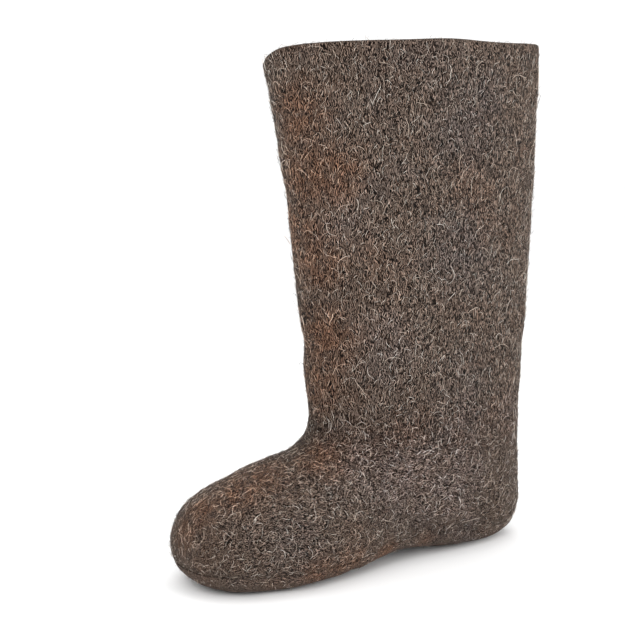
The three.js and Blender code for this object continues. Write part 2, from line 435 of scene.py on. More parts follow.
@dataclass
class FeltRelief:
    """How the felt's surface departs from the smooth form.

    It has lumps and dimples from fulling, a soft line at the seam, creases from wear and a slack collar.
    """

    form: BootForm
    seed: int = 11
    lump_height: float = 0.35
    lump_lengths: Span = (26.0, 70.0)
    lump_waves: int = 28
    dimple_height: float = 0.12
    dimple_lengths: Span = (9.0, 18.0)
    dimple_waves: int = 40
    seam_depth: float = 0.8
    seam_width: float = 2.4
    seam_start: float = 12.0
    floor_fade: float = 5.0
    collar_dip: float = 10.5
    collar_dip_reach: float = 23.0
    collar_dip_across: float = -24.0
    collar_dip_behind: float = 8.0
    collar_slack_start: float = 45.0
    collar_slack_full: float = 2.0
    collar_wave: float = 0.7
    collar_ripples: tuple[tuple[float, int, float], ...] = ((1.0, 3, 0.6), (0.6, 5, 2.1))
    creases: tuple[Crease, ...] = (
        Crease(((56.0, 16.0), (75.0, 19.0), (92.0, 23.0), (105.0, 27.0), (120.0, 31.0), (138.0, 37.0)),
               3.0, 5.0),
        Crease(((45.0, 9.0), (90.0, 13.0), (130.0, 15.0), (165.0, 9.0)), -1.5, 5.5),
        Crease(((168.0, 84.0), (140.0, 60.0), (112.0, 38.0)), 1.7, 19.0),
        Crease(((190.0, 92.0), (172.0, 104.0), (150.0, 112.0)), 0.8, 9.0),
        Crease(((178.0, 150.0), (150.0, 141.0), (128.0, 138.0)), 0.9, 9.0, Side.PLUS),
        Crease(((180.0, 160.0), (140.0, 152.0)), 0.8, 10.0, Side.MINUS),
        Crease(((4.0, 108.0), (34.0, 98.0), (60.0, 96.0)), 0.8, 11.0),
        Crease(((15.0, 34.0), (50.0, 30.0)), -0.8, 12.0),
        Crease(((250.0, 66.0), (228.0, 72.0), (214.0, 66.0)), -0.9, 11.0),
        Crease(((60.0, 240.0), (95.0, 300.0)), 0.9, 22.0, Side.PLUS),
        Crease(((130.0, 220.0), (150.0, 270.0)), -0.7, 24.0, Side.PLUS),
        Crease(((90.0, 200.0), (70.0, 290.0)), 0.9, 24.0, Side.MINUS),
    )
    waves: dict[str, np.ndarray] = field(init=False)

    def __post_init__(self) -> None:
        """Draws the waves that the lumps and dimples are summed from."""
        rng = np.random.default_rng(self.seed)
        self.waves = {
            "lump": self._draw(rng, self.lump_waves, self.lump_lengths),
            "dimple": self._draw(rng, self.dimple_waves, self.dimple_lengths),
        }

    @staticmethod
    def _draw(rng: np.random.Generator, count: int, lengths: Span) -> np.ndarray:
        """Draws plane waves.

        Args:
            rng: where the random numbers come from.
            count: how many waves there are.
            lengths: the least and the greatest wavelength, in millimetres.

        Returns:
            A row for each: its direction over its length, and its phase.
        """
        direction = rng.normal(size=(count, 3))
        direction /= np.linalg.norm(direction, axis=1)[:, None]
        length = rng.uniform(*lengths, size=count)
        phase = rng.uniform(0, 2 * math.pi, size=count)
        return np.column_stack([direction * (2 * math.pi / length)[:, None], phase])

    def _waves_at(self, name: str, points: np.ndarray) -> np.ndarray:
        """Sums one set of waves at the points.

        Args:
            name: which set.
            points: points in millimetres.

        Returns:
            One number for each point, with a spread of about 1.
        """
        waves = self.waves[name]
        flat = points.reshape(-1, 3)
        total = np.zeros(len(flat))
        for row in waves:
            total += np.sin(flat @ row[:3] + row[3])
        return (total / math.sqrt(len(waves) / 2)).reshape(points.shape[:-1])

    def outward(self, points: np.ndarray, seam: HeightLine) -> np.ndarray:
        """Returns how far each point of the outside moves outwards.

        Args:
            points: points in millimetres.
            seam: the height of the seam between sole and upper, along the foot.

        Returns:
            Millimetres, negative where the point sinks in.
        """
        along = self.form.heel_y - points[..., 1]
        up = points[..., 2]
        move = self.lump_height * self._waves_at("lump", points)
        move = move + self.dimple_height * self._waves_at("dimple", points)
        for crease in self.creases:
            move = move - crease.at(along, up, points[..., 0])
        on_foot = ramp(along, 0.0, self.seam_start)
        move = move - self.seam_depth * on_foot * np.exp(-((up - seam(along)) / self.seam_width) ** 2)
        return move * ramp(up, 0.0, self.floor_fade)

    def slack(self, points: np.ndarray) -> np.ndarray:
        """Works out how far each point sinks where the collar is slack and uneven.

        Args:
            points: points in millimetres.

        Returns:
            Millimetres downwards, for each point.
        """
        along = self.form.heel_y - points[..., 1]
        up = points[..., 2]
        front = self.form.collar_depth - self.form.collar_back
        top = self.form.boot_height
        late = ramp(up, top - self.collar_slack_start, top - self.collar_slack_full)
        away = np.hypot(points[..., 0] - self.collar_dip_across, along - front + self.collar_dip_behind)
        dip = self.collar_dip * np.exp(-(away / self.collar_dip_reach) ** 2)
        turn = np.arctan2(points[..., 0], along - front / 2)
        wave = sum(height * np.sin(count * turn + phase) for height, count, phase in self.collar_ripples)
        return late * (dip + self.collar_wave * wave)


@dataclass
class FeltShell:
    """Builds closed solids of the boot's form, and cuts them into the pieces that it is made of.

    Attributes:
        form: the boot's form.
        relief: the relief of its surface.
        sole_thickness: how thick the sole is, in millimetres, as are the other sizes.
        sole_step: how far the sole stands out from the upper.
        insole_thickness: how thick the insole is.
        seam_gap: the gap between the sole and the upper.
        wall: how thick the upper is.
        insole_clearance: the room round the insole.
        rim_radius: how far the collar's edge is rounded.
        rim_rings: how many sections the rounding has.
        probe: the share of the run over which the length of its end is measured.
        slab_steps: how many places a slab has along the foot.
        slab_behind: how far a slab goes on behind the heel.
        slab_ahead: how far it goes towards the toe and beyond.
        slab_half: half its width.
    """

    form: BootForm
    relief: FeltRelief
    sole_thickness: float = 14.0
    sole_step: float = 0.8
    insole_thickness: float = 6.0
    seam_gap: float = 0.3
    wall: float = 7.0
    insole_clearance: float = 0.6
    rim_radius: float = 3.2
    rim_rings: int = 6
    probe: float = 1e-3
    slab_steps: int = 90
    slab_behind: float = 220.0
    slab_ahead: float = 520.0
    slab_half: float = 140.0

    def feather(self, along: np.ndarray) -> np.ndarray:
        """Returns the height of the sole's top along the foot."""
        reached = np.clip(along, 0.0, self.form.foot_length)
        return self.form.underside(reached) + self.sole_thickness

    def seat(self, along: np.ndarray) -> np.ndarray:
        """Returns the height of the upper's cut edge, just above the sole."""
        return self.feather(along) + self.seam_gap

    def insole_top(self, along: np.ndarray) -> np.ndarray:
        """Returns the height of the insole's top."""
        return self.seat(along) + self.insole_thickness

    def solid(self, name: str, inset: float, spacing: float, around: int, rim: float = 0.0,
              relief: float = 1.0, overshoot: float = 0.0) -> Piece:
        """Builds the whole form as one closed solid, moved inwards all round.

        Args:
            name: the object's name.
            inset: how far the surface moves inwards, in millimetres.
            spacing: about how far apart the sections are.
            around: how many points each section has.
            rim: how far the last sections turn inwards over the collar's edge.
            relief: how much of the felt's relief the surface shows.
            overshoot: how far the form goes on above the collar.

        Returns:
            The object, with outward faces.
        """
        spread = self.form.even_shares(spacing)
        radius = abs(rim) if rim else 0.0
        last_run = self.form.row_at(np.array([1.0 - self.probe, 1.0]))
        per_share = float(np.hypot(*(last_run[1, 0:2] - last_run[0, 0:2]))) / self.probe
        edge = radius / per_share
        body = spread[1:] * (1.0 - edge)
        turn = np.linspace(0.0, math.pi / 2, self.rim_rings + 1)[1:] if radius else np.zeros(0)
        share = np.concatenate([body, 1.0 - edge * (1.0 - np.sin(turn))])
        inward = np.concatenate([np.zeros(len(body)), rim * (1.0 - np.cos(turn))])

        base = self.form.rings(share, around)
        normal = self._normals(base)
        move = relief * self.relief.outward(base, self.feather) - inset - inward[:, None]
        rings = base + normal * move[..., None]
        level = len(body)
        rings[level:, :, 2] = base[level:, :, 2]
        rings[..., 2] -= self.relief.slack(base)
        rings[..., 2] = np.maximum(rings[..., 2], 0.0)
        if overshoot:
            above = rings[-1:].copy()
            above[..., 2] += overshoot
            rings = np.concatenate([rings, above])
        tip = np.array([0.0, self.form.heel_y - self.form.foot_length + inset, self.form.toe_tip_height])
        return self._object(name, tip, rings)

    @staticmethod
    def _normals(rings: np.ndarray) -> np.ndarray:
        """Works out the outward normal at every point, from the points beside it.

        Args:
            rings: sections by points by (x, y, z).

        Returns:
            Unit vectors in the same order.
        """
        around = np.roll(rings, -1, axis=1) - np.roll(rings, 1, axis=1)
        onward = np.empty_like(rings)
        onward[1:-1] = rings[2:] - rings[:-2]
        onward[0] = rings[1] - rings[0]
        onward[-1] = rings[-1] - rings[-2]
        normal = np.cross(onward, around)
        return normal / np.maximum(np.linalg.norm(normal, axis=2, keepdims=True), TINY)

    @staticmethod
    def _object(name: str, tip: np.ndarray, rings: np.ndarray) -> Piece:
        """Closes the rings with the tip at one end and a lid at the other.

        Args:
            name: the object's name.
            tip: the point at which the toe closes.
            rings: sections by points by (x, y, z), in millimetres.

        Returns:
            The object, with outward faces.
        """
        count, around, _ = rings.shape
        points = np.vstack([tip, rings.reshape(-1, 3), rings[-1].mean(axis=0)]) * MM
        lid = len(points) - 1
        grid = 1 + np.arange(count * around).reshape(count, around)
        beside = np.roll(grid, -1, axis=1)
        faces: Faces = []
        faces += [(0, a, b) for a, b in zip(grid[0].tolist(), beside[0].tolist())]
        quads = np.stack([grid[:-1], grid[1:], beside[1:], beside[:-1]], axis=2).reshape(-1, 4)
        faces += [tuple(q) for q in quads.tolist()]
        faces += [(lid, b, a) for a, b in zip(grid[-1].tolist(), beside[-1].tolist())]
        return new_object(name, points, faces)

    def slab(self, name: str, lower: HeightLine, upper: HeightLine) -> Piece:
        """Builds the slab between two lines that follow the underside of the foot.

        Args:
            name: the object's name.
            lower: the height of its underside along the foot.
            upper: the height of its top along the foot.

        Returns:
            The slab, which is longer and wider than the boot.
        """
        on_foot = np.linspace(0.0, self.form.foot_length, self.slab_steps)
        along = np.concatenate([[-self.slab_behind], on_foot, [self.slab_ahead]])
        low, high = lower(along), upper(along)
        half = self.slab_half
        corners = [(-half, low), (half, low), (half, high), (-half, high)]
        points = np.stack([
            np.stack([np.full(len(along), across), self.form.heel_y - along, height], axis=1)
            for across, height in corners
        ], axis=1)
        count = len(along)
        grid = np.arange(count * 4).reshape(count, 4)
        faces: Faces = [tuple(grid[0].tolist()), tuple(grid[-1][::-1].tolist())]
        for k in range(4):
            after = (k + 1) % 4
            for i in range(count - 1):
                corner_run = (grid[i, after], grid[i, k], grid[i + 1, k], grid[i + 1, after])
                faces.append(tuple(int(corner) for corner in corner_run))
        return new_object(name, points.reshape(-1, 3) * MM, faces)

    def cut(self, base: Piece, name: str,
            tools: Sequence[tuple[Piece, str]]) -> Piece:
        """Cuts a solid with others and leaves one plain mesh.

        Args:
            base: the solid that is cut.
            name: the name of the result.
            tools: pairs of a cutting solid and DIFFERENCE or INTERSECT.

        Returns:
            The cut piece. The solids are removed.
        """
        for index, (tool, operation) in enumerate(tools):
            modifier = base.modifiers.new(f"cut_{index}", "BOOLEAN")
            modifier.object = tool
            modifier.operation = operation
            modifier.solver = "MANIFOLD"
        piece = plain_copy(base, name)
        for unused in [base, *(tool for tool, _ in tools)]:
            remove_object(unused)
        return piece


# Mesh helpers


def new_object(name: str, points: np.ndarray, faces: Sequence[tuple[int, ...]]) -> Piece:
    """Makes a new mesh object.

    Args:
        name: the object's name.
        points: its points, in metres.
        faces: the points of each face.

    Returns:
        The object, linked to the scene.
    """
    mesh = bpy.data.meshes.new(name)
    mesh.from_pydata(points.tolist(), [], list(faces))
    mesh.update()
    created = bpy.data.objects.new(name, mesh)
    bpy.context.scene.collection.objects.link(created)
    return created


def plain_copy(source: Piece, name: str) -> Piece:
    """Copies an object as its modifiers leave it, without the modifiers.

    Args:
        source: the object that is copied.
        name: the name of the copy.

    Returns:
        The copy, linked to the scene.
    """
    depsgraph = bpy.context.evaluated_depsgraph_get()
    depsgraph.update()
    mesh = bpy.data.meshes.new_from_object(source.evaluated_get(depsgraph), depsgraph=depsgraph)
    mesh.name = name
    created = bpy.data.objects.new(name, mesh)
    bpy.context.scene.collection.objects.link(created)
    return created


def skin_of(source: Piece) -> BVHTree:
    """Prepares an object's surface for nearest-point searches.

    Args:
        source: the object.

    Returns:
        The search tree of its faces.
    """
    mesh = source.data
    faces = [polygon.vertices[:] for polygon in mesh.polygons]
    return BVHTree.FromPolygons([vertex.co[:] for vertex in mesh.vertices], faces)


def remove_object(unused: Piece) -> None:
    """Removes an object together with its mesh.

    Args:
        unused: the object.
    """
    mesh = unused.data
    bpy.data.objects.remove(unused)
    if mesh is not None and mesh.users == 0:
        bpy.data.meshes.remove(mesh)


def vertex_array(mesh: bpy.types.Mesh) -> np.ndarray:
    """Reads the mesh's points.

    Args:
        mesh: the mesh.

    Returns:
        An array of points by (x, y, z), in metres.
    """
    flat = np.empty(len(mesh.vertices) * 3, np.float32)
    mesh.vertices.foreach_get("co", flat)
    return flat.reshape(-1, 3).astype(float)


def triangle_count(piece: Piece) -> int:
    """Returns how many triangles the piece has."""
    return sum(len(polygon.vertices) - 2 for polygon in piece.data.polygons)


def smooth(piece: Piece, angle: float) -> None:
    """Shades the piece smooth, with an edge sharp where its faces meet at more than the angle, in degrees."""
    piece.data.shade_smooth()
    piece.data.set_sharp_from_angle(angle=math.radians(angle))


# Finishes


class Sketch:
    """A short way to write a node tree."""

    def __init__(self, tree: bpy.types.NodeTree) -> None:
        """Keeps the tree that nodes are added to."""
        self.tree = tree

    def add(self, kind: str, values: dict[str | int, object] | None = None,
            **settings: object) -> bpy.types.Node:
        """Adds a node.

        Args:
            kind: the node's type.
            values: what goes into its inputs, by name or number: an output to link, or a plain value.
            **settings: the node's own settings.

        Returns:
            The node.
        """
        node = self.tree.nodes.new(kind)
        for name, value in settings.items():
            setattr(node, name, value)
        for key, value in (values or {}).items():
            socket = self.socket(node.inputs, key)
            if isinstance(value, Socket):
                self.tree.links.new(value, socket)
            else:
                socket.default_value = value
        return node

    @staticmethod
    def socket(sockets: bpy.types.bpy_prop_collection, key: str | int) -> Socket:
        """Finds the socket that is in use under a name, or at a number.

        Args:
            sockets: a node's inputs or outputs.
            key: the name or the number.

        Returns:
            The socket.
        """
        if isinstance(key, int):
            return sockets[key]
        return next(socket for socket in sockets if socket.name == key and socket.enabled)

    def out(self, kind: str, values: dict[str | int, object] | None = None, output: str | int = 0,
            **settings: object) -> Socket:
        """Adds a node and returns one of its outputs."""
        node = self.add(kind, values, **settings)
        return self.socket(node.outputs, output)

    def maths(self, operation: str, *values: object) -> Socket:
        """Adds a Math node and returns its result."""
        return self.out("ShaderNodeMath", dict(enumerate(values)), operation=operation)

    def fit(self, value: Socket, low: float, high: float, to_low: float = 0.0,
            to_high: float = 1.0) -> Socket:
        """Maps a value smoothly from one range to another.

        Args:
            value: the value.
            low: where its range starts.
            high: where its range ends.
            to_low: what the start becomes.
            to_high: what the end becomes.

        Returns:
            The mapped value.
        """
        return self.out("ShaderNodeMapRange", {
            "Value": value, "From Min": low, "From Max": high, "To Min": to_low, "To Max": to_high,
        }, output="Result", interpolation_type="SMOOTHSTEP", clamp=True)

    def mix(self, share: object, first: object, second: object, blend: str = "MIX") -> Socket:
        """Mixes two colours.

        Args:
            share: how much of the second there is.
            first: a colour, plain or from a node.
            second: the same.
            blend: how they are blended.

        Returns:
            The mixed colour.
        """
        def colour(value: object) -> object:
            """Returns a plain colour with its alpha, and a socket as it is."""
            return (*value, 1.0) if isinstance(value, tuple) else value
        return self.out("ShaderNodeMix", {
            "Factor": share, "A": colour(first), "B": colour(second),
        }, output="Result", data_type="RGBA", blend_type=blend, clamp_factor=True)

    def times(self, first: object, second: object) -> Socket:
        """Multiplies two colours and returns the result."""
        return self.mix(1.0, first, second, "MULTIPLY")

    def noise(self, place: Socket, scale: float, detail: float = 0.0) -> Socket:
        """Adds a noise pattern and returns its value."""
        return self.out("ShaderNodeTexNoise", {"Vector": place, "Scale": scale, "Detail": detail})

    def vectors(self, operation: str, *values: object) -> Socket:
        """Adds a Vector Math node and returns its vector."""
        return self.out("ShaderNodeVectorMath", dict(enumerate(values)), operation=operation)


def blank_material(name: str) -> tuple[Material, Sketch]:
    """Makes a material without nodes.

    Args:
        name: the material's name.

    Returns:
        The material, and a sketch of its node tree.
    """
    material = bpy.data.materials.new(name)
    material.use_nodes = True
    material.node_tree.nodes.clear()
    return material, Sketch(material.node_tree)


@dataclass(frozen=True)
class Patch:
    """A patch of differently coloured wool: its middle and reach, in millimetres, and its strength."""

    along: float
    across: float
    up: float
    radius: float
    strength: float = 1.0


@dataclass(frozen=True)
class WoolPatches:
    """Where the felt is warmer or cooler in colour, and where shade and light are painted on it.

    Attributes:
        heel_y: where the back of the heel lies, in the boot's frame, in millimetres.
        warm_tint: what the colour is multiplied by where the wool is warm.
        cool_tint: what the colour is multiplied by where the wool is cool.
        painted_shade_tint: what the colour is multiplied by where shade is painted in the creases and
            hollows.
        painted_light_tint: what the colour is multiplied by where light is painted on.
        warm: patches with more rust in them.
        cool: patches with more grey in them.
        dark: patches of painted shade in the creases and hollows, the same on both sides.
        light: patches of painted light where the sides of heel, foot and shaft lie in shade, the same on both
            sides.
        edge_share: where a patch has its full strength, as a share of its reach.
        ragged_scale: how fine the pattern is that frays the patches.
        ragged: the range of that pattern, and what it becomes.
        cloud_scale: how fine the pattern is that colours the wool anywhere.
        warm_clouds: the range of that pattern that is warm, and how warm it becomes.
        cool_clouds: the range of that pattern that is cool, and how cool it becomes.
        detail: how detailed both patterns are.
    """

    heel_y: float
    warm_tint: Colour = (1.2, 0.885, 0.71)
    cool_tint: Colour = (0.88, 0.95, 1.08)
    painted_shade_tint: Colour = (0.5, 0.48, 0.48)
    painted_light_tint: Colour = (1.56, 1.57, 1.66)
    warm: tuple[Patch, ...] = (
        Patch(178, -32, 354, 34), Patch(198, 15, 320, 40), Patch(191, 14, 281, 42), Patch(185, -3, 242, 44),
        Patch(178, 30, 281, 34), Patch(184, 13, 221, 38), Patch(178, 13, 165, 44), Patch(178, 5, 132, 34),
        Patch(228, 10, 74, 38), Patch(249, 14, 67, 36), Patch(189, 22, 83, 32), Patch(275, 8, 56, 26),
        Patch(285, 3, 41, 22), Patch(60, -50, 300, 40), Patch(120, -46, 170, 38), Patch(20, -20, 90, 30),
        Patch(182, 51, 14, 26), Patch(147, 41, 14, 20), Patch(209, 53, 12, 24), Patch(109, 38, 16, 13, 0.7),
        Patch(170, -50, 14, 30),
    )
    cool: tuple[Patch, ...] = (
        Patch(84, 55, 312, 52), Patch(84, 52, 224, 52), Patch(140, 41, 152, 42, 0.6),
        Patch(142, 45, 60, 50, 0.6), Patch(86, 45, 56, 46, 0.6), Patch(78, 48, 128, 46, 0.6),
        Patch(67, 55, 333, 34), Patch(150, -45, 300, 46), Patch(60, -48, 200, 44), Patch(240, -40, 50, 36),
        Patch(68, 38, 12, 26), Patch(225, 50, 34, 34, 0.6),
    )
    # Painted shade: darker patches along the crease above the sole's seam, in the hollow over the arch, under
    # the toe and at the ankle.
    dark: tuple[Patch, ...] = (
        Patch(137, 47, 34, 11, 0.5), Patch(120, 45, 28, 12), Patch(105, 43, 23, 13), Patch(92, 40, 18, 13),
        Patch(76, 38, 15, 11, 0.8), Patch(60, 35, 13, 10, 0.5), Patch(144, 45, 58, 34, 0.15),
        Patch(246, 40, 22, 20, 0.3), Patch(62, 48, 150, 24, 0.35),
    )
    # Painted light: paler patches on the sides of the heel, foot and shaft, where they lie in shade.
    light: tuple[Patch, ...] = (
        Patch(27, 40, 97, 34, 0.9), Patch(80, 45, 84, 46, 0.8), Patch(125, 46, 75, 50, 1.0),
        Patch(165, 40, 88, 40, 0.9), Patch(145, 44, 172, 30, 0.4), Patch(172, 34, 250, 34, 0.4),
        Patch(95, 44, 45, 44, 0.6),
    )
    edge_share: float = 0.1
    ragged_scale: float = 110.0
    ragged: Mapped = (0.34, 0.6, 0.5, 1.0)
    cloud_scale: float = 26.0
    warm_clouds: Mapped = (0.5, 0.72, 0.05, 0.3)
    cool_clouds: Mapped = (0.46, 0.3, 0.0, 0.4)
    detail: float = 2.0

    def _covered(self, sketch: Sketch, place: Socket,
                 patches: tuple[Patch, ...]) -> Socket:
        """Works out how much any of the patches covers a place.

        Args:
            sketch: the node tree that it is written in.
            place: the place, in metres.
            patches: the patches.

        Returns:
            The strength of the strongest one there.
        """
        total = None
        for patch in patches:
            centre = (patch.across * MM, (self.heel_y - patch.along) * MM, patch.up * MM)
            away = sketch.out("ShaderNodeVectorMath", {0: place, 1: centre}, output="Value",
                              operation="DISTANCE")
            reach = patch.radius * MM
            inside = sketch.fit(away, reach, reach * self.edge_share, 0.0, patch.strength)
            total = inside if total is None else sketch.maths("MAXIMUM", total, inside)
        return total

    def tint(self, sketch: Sketch, place: Socket) -> Socket:
        """Works out the colour that the wool's own colour is multiplied by, with the painted shade and light
        in it.

        Args:
            sketch: the node tree that it is written in.
            place: the place, in metres.

        Returns:
            The colour.
        """
        ragged = sketch.fit(sketch.noise(place, self.ragged_scale, self.detail), *self.ragged)
        clouds = sketch.noise(place, self.cloud_scale, self.detail)
        warm = sketch.maths("MULTIPLY", self._covered(sketch, place, self.warm), ragged)
        warm = sketch.maths("MAXIMUM", warm, sketch.fit(clouds, *self.warm_clouds))
        cool = sketch.maths("MULTIPLY", self._covered(sketch, place, self.cool), ragged)
        cool = sketch.maths("MAXIMUM", cool, sketch.fit(clouds, *self.cool_clouds))
        sideless = sketch.vectors("ABSOLUTE", place)
        parts = sketch.add("ShaderNodeSeparateXYZ", {"Vector": place})
        both = sketch.out("ShaderNodeCombineXYZ", {
            "X": sketch.out("ShaderNodeSeparateXYZ", {"Vector": sideless}, output="X"),
            "Y": parts.outputs["Y"], "Z": parts.outputs["Z"],
        })
        # The painted shade, read the same on both sides.
        dark = sketch.maths("MULTIPLY", self._covered(sketch, both, self.dark), ragged)
        # The painted light, read the same on both sides.
        light = sketch.maths("MULTIPLY", self._covered(sketch, both, self.light), ragged)
        white = (1.0, 1.0, 1.0)
        tint = sketch.mix(warm, white, self.warm_tint)
        for share, colour in ((cool, self.cool_tint), (dark, self.painted_shade_tint), (light, self.painted_light_tint)):
            tint = sketch.times(tint, sketch.mix(share, white, colour))
        return tint


@dataclass(frozen=True)
class FibreLines:
    """One set of thin curved lines that read as fibres.

    Attributes:
        scale: how fine the pattern is that they follow.
        bands: how many lines lie between its lowest and highest places.
        width: how wide they are, in shares of the distance between two.
        shift: how far the pattern is moved, in metres, so that two sets differ.
        fold: the height at which the pattern is folded back.
        core_share: the share of a line's width that has its full strength.
        skew: the share of the shift that goes along the boot.
        gap_scale: how much finer the pattern is that breaks the lines.
        gaps: the range of that pattern over which a line sets in.
    """

    scale: float
    bands: float
    width: float
    shift: float
    fold: ClassVar[float] = 0.5
    core_share: ClassVar[float] = 0.3
    skew: ClassVar[float] = 0.7
    gap_scale: ClassVar[float] = 1.7
    gaps: ClassVar[Span] = (0.48, 0.54)

    def draw(self, sketch: Sketch, place: Socket) -> Socket:
        """Draws the lines, broken into short lengths.

        Args:
            sketch: the node tree that they are written in.
            place: the place, in metres.

        Returns:
            1 on a line and 0 beside it.
        """
        offset = (self.shift, self.shift * self.skew, -self.shift)
        moved = sketch.out("ShaderNodeMapping", {"Vector": place, "Location": offset})
        hills = sketch.noise(moved, self.scale)
        bend = sketch.maths("PINGPONG", sketch.maths("MULTIPLY", hills, self.bands), self.fold)
        line = sketch.fit(bend, self.width, self.width * self.core_share)
        broken = sketch.noise(moved, self.scale * self.gap_scale)
        return sketch.maths("MULTIPLY", line, sketch.fit(broken, *self.gaps))


@dataclass(frozen=True)
class FeltFinish:
    """Felt of mixed wool: a dark ground, which holds the painted shade between the fibres, with paler fibres
    on it.

    Attributes:
        name: the material's name.
        ground: the colour between the fibres, the darkest wool with painted shade in the gaps.
        brown: the colour of most fibres.
        grey: the colour of the greyer ones.
        pale: the colour of the palest ones.
        patches: where the wool is warmer or cooler, and where shade and light are painted on it.
        mixing_scale: how fine the pattern is that mixes brown and grey.
        mixing: the range of that pattern over which brown goes over to grey.
        wool_range: the height of the fibres over which the ground goes over to wool, so that low places get
            painted shade.
        pale_range: the height of the fibres over which wool goes over to the palest.
        streak_scale: how fine the streaks are.
        streak_gain: how strong they are.
        upright_stretch: what the streaks on the shaft are scaled by.
        upright_shade_step: how far the painted shade beside such a streak lies from it, in metres.
        lying_stretch: what the streaks on the foot are scaled by.
        lying_shade_step: how far the painted shade beside such a streak lies from it, in metres.
        lying_tilt: how far the streaks on the foot lean, in degrees.
        shaft_range: the heights over which the foot's streaks go over to the shaft's, in metres.
        sway: how far the fibres wave, in metres.
        sway_scale: how fine the pattern is by which they do.
        middle: the middle value of a pattern.
        lines: the single fibres on top.
        line_share: how pale those are.
        nap_relief: the streaks' share of the bump.
        line_relief: the single fibres' share of the bump.
    """

    name: str
    ground: Colour
    brown: Colour
    grey: Colour
    pale: Colour
    patches: WoolPatches
    mixing_scale: float = 90.0
    mixing_detail: float = 3.0
    mixing: Span = (0.4, 0.65)
    wool_range: Span = (0.54, 0.6)
    pale_range: Span = (0.62, 0.72)
    streak_scale: float = 2000.0
    streak_gain: float = 1.1
    upright_stretch: Triple = (1.0, 1.0, 0.15)
    upright_shade_step: Triple = (0.00035, 0.00035, 0.0)
    lying_stretch: Triple = (1.25, 0.26, 1.25)
    lying_shade_step: Triple = (0.0003, 0.0, 0.0003)
    lying_tilt: float = -40.0
    shaft_range: Span = (0.06, 0.13)
    sway: float = 0.005
    sway_scale: float = 140.0
    sway_detail: float = 1.0
    middle: float = 0.5
    lines: tuple[FibreLines, ...] = (FibreLines(260.0, 4.0, 0.09, 0.13), FibreLines(340.0, 3.5, 0.09, 0.47))
    line_share: float = 0.4
    nap_relief: float = 0.7
    line_relief: float = 0.3
    bump_strength: float = 0.9
    bump_depth: float = 0.0009
    roughness: float = 1.0
    specular: float = 0.12
    sheen: float = 0.04
    sheen_roughness: float = 0.5
    sheen_tint: Colour = (0.75, 0.68, 0.6)

    def _swayed(self, sketch: Sketch, place: Socket) -> Socket:
        """Pushes the places about a little, so that the fibres wave.

        Args:
            sketch: the node tree that it is written in.
            place: the place, in metres.

        Returns:
            The place that the streaks are read at.
        """
        push = sketch.out("ShaderNodeTexNoise", {
            "Vector": place, "Scale": self.sway_scale, "Detail": self.sway_detail,
        }, output="Color")
        centred = sketch.vectors("SUBTRACT", push, (self.middle,) * 3)
        small = sketch.out("ShaderNodeVectorMath", {0: centred, "Scale": self.sway}, operation="SCALE")
        return sketch.vectors("ADD", place, small)

    def _streaks_with_painted_shade(self, sketch: Sketch, place: Socket, step: Triple) -> Socket:
        """Draws thin streaks, each with a streak of painted shade on either side.

        Args:
            sketch: the node tree that they are written in.
            place: the place that they are read at.
            step: how far the painted shade lies to the side, in metres.

        Returns:
            The height of the fibres, 0.5 in the middle.
        """
        after = sketch.vectors("ADD", place, step)
        before = sketch.vectors("SUBTRACT", place, step)
        here, right, left = (sketch.noise(spot, self.streak_scale) for spot in (place, after, before))
        # The pattern to either side, taken from this one, paints a shade beside each streak.
        beside = sketch.maths("MULTIPLY", sketch.maths("ADD", left, right), 0.5)
        contrast = sketch.maths("SUBTRACT", here, beside)
        return sketch.maths("ADD", sketch.maths("MULTIPLY", contrast, self.streak_gain), self.middle)

    def _nap(self, sketch: Sketch, place: Socket) -> Socket:
        """Draws the matted fibres, which run up the shaft and along the foot.

        Args:
            sketch: the node tree that it is written in.
            place: the place, in metres.

        Returns:
            The height of the fibres, 0.5 in the middle.
        """
        swayed = self._swayed(sketch, place)
        upright = sketch.out("ShaderNodeMapping", {"Vector": swayed, "Scale": self.upright_stretch})
        lying = sketch.out("ShaderNodeMapping", {
            "Vector": swayed, "Rotation": (math.radians(self.lying_tilt), 0.0, 0.0),
            "Scale": self.lying_stretch,
        })
        height = sketch.out("ShaderNodeSeparateXYZ", {"Vector": place}, output="Z")
        on_shaft = sketch.fit(height, *self.shaft_range)
        up_streaks = self._streaks_with_painted_shade(sketch, upright, self.upright_shade_step)
        foot_streaks = self._streaks_with_painted_shade(sketch, lying, self.lying_shade_step)
        return sketch.out("ShaderNodeMix", {"Factor": on_shaft, "A": foot_streaks, "B": up_streaks},
                          output="Result", data_type="FLOAT")

    def build(self) -> Material:
        """Builds the material.

        Returns:
            The material.
        """
        material, sketch = blank_material(self.name)
        place = sketch.out("ShaderNodeTexCoord", output="Object")

        mixing = sketch.noise(place, self.mixing_scale, self.mixing_detail)
        wool = sketch.mix(sketch.fit(mixing, *self.mixing), self.brown, self.grey)
        nap = self._nap(sketch, place)
        fibres = sketch.maths("MAXIMUM", *(lines.draw(sketch, place) for lines in self.lines))

        # Low fibres take the dark ground: painted shade in the gaps between the fibres.
        colour = sketch.mix(sketch.fit(nap, *self.wool_range), self.ground, wool)
        colour = sketch.mix(sketch.fit(nap, *self.pale_range), colour, self.pale)
        colour = sketch.mix(sketch.maths("MULTIPLY", fibres, self.line_share), colour, self.pale)
        # The patches' tint paints shade into the creases and hollows and light onto the shaded sides.
        colour = sketch.times(colour, self.patches.tint(sketch, place))
        relief = sketch.maths("ADD", sketch.maths("MULTIPLY", nap, self.nap_relief),
                              sketch.maths("MULTIPLY", fibres, self.line_relief))
        bump = sketch.out("ShaderNodeBump", {
            "Height": relief, "Strength": self.bump_strength, "Distance": self.bump_depth,
        })
        shader = sketch.add("ShaderNodeBsdfPrincipled", {
            "Base Color": colour, "Normal": bump, "Roughness": self.roughness,
            "Specular IOR Level": self.specular, "Sheen Weight": self.sheen,
            "Sheen Roughness": self.sheen_roughness, "Sheen Tint": (*self.sheen_tint, 1.0),
        })
        sketch.add("ShaderNodeOutputMaterial", {"Surface": shader.outputs["BSDF"]})
        return material


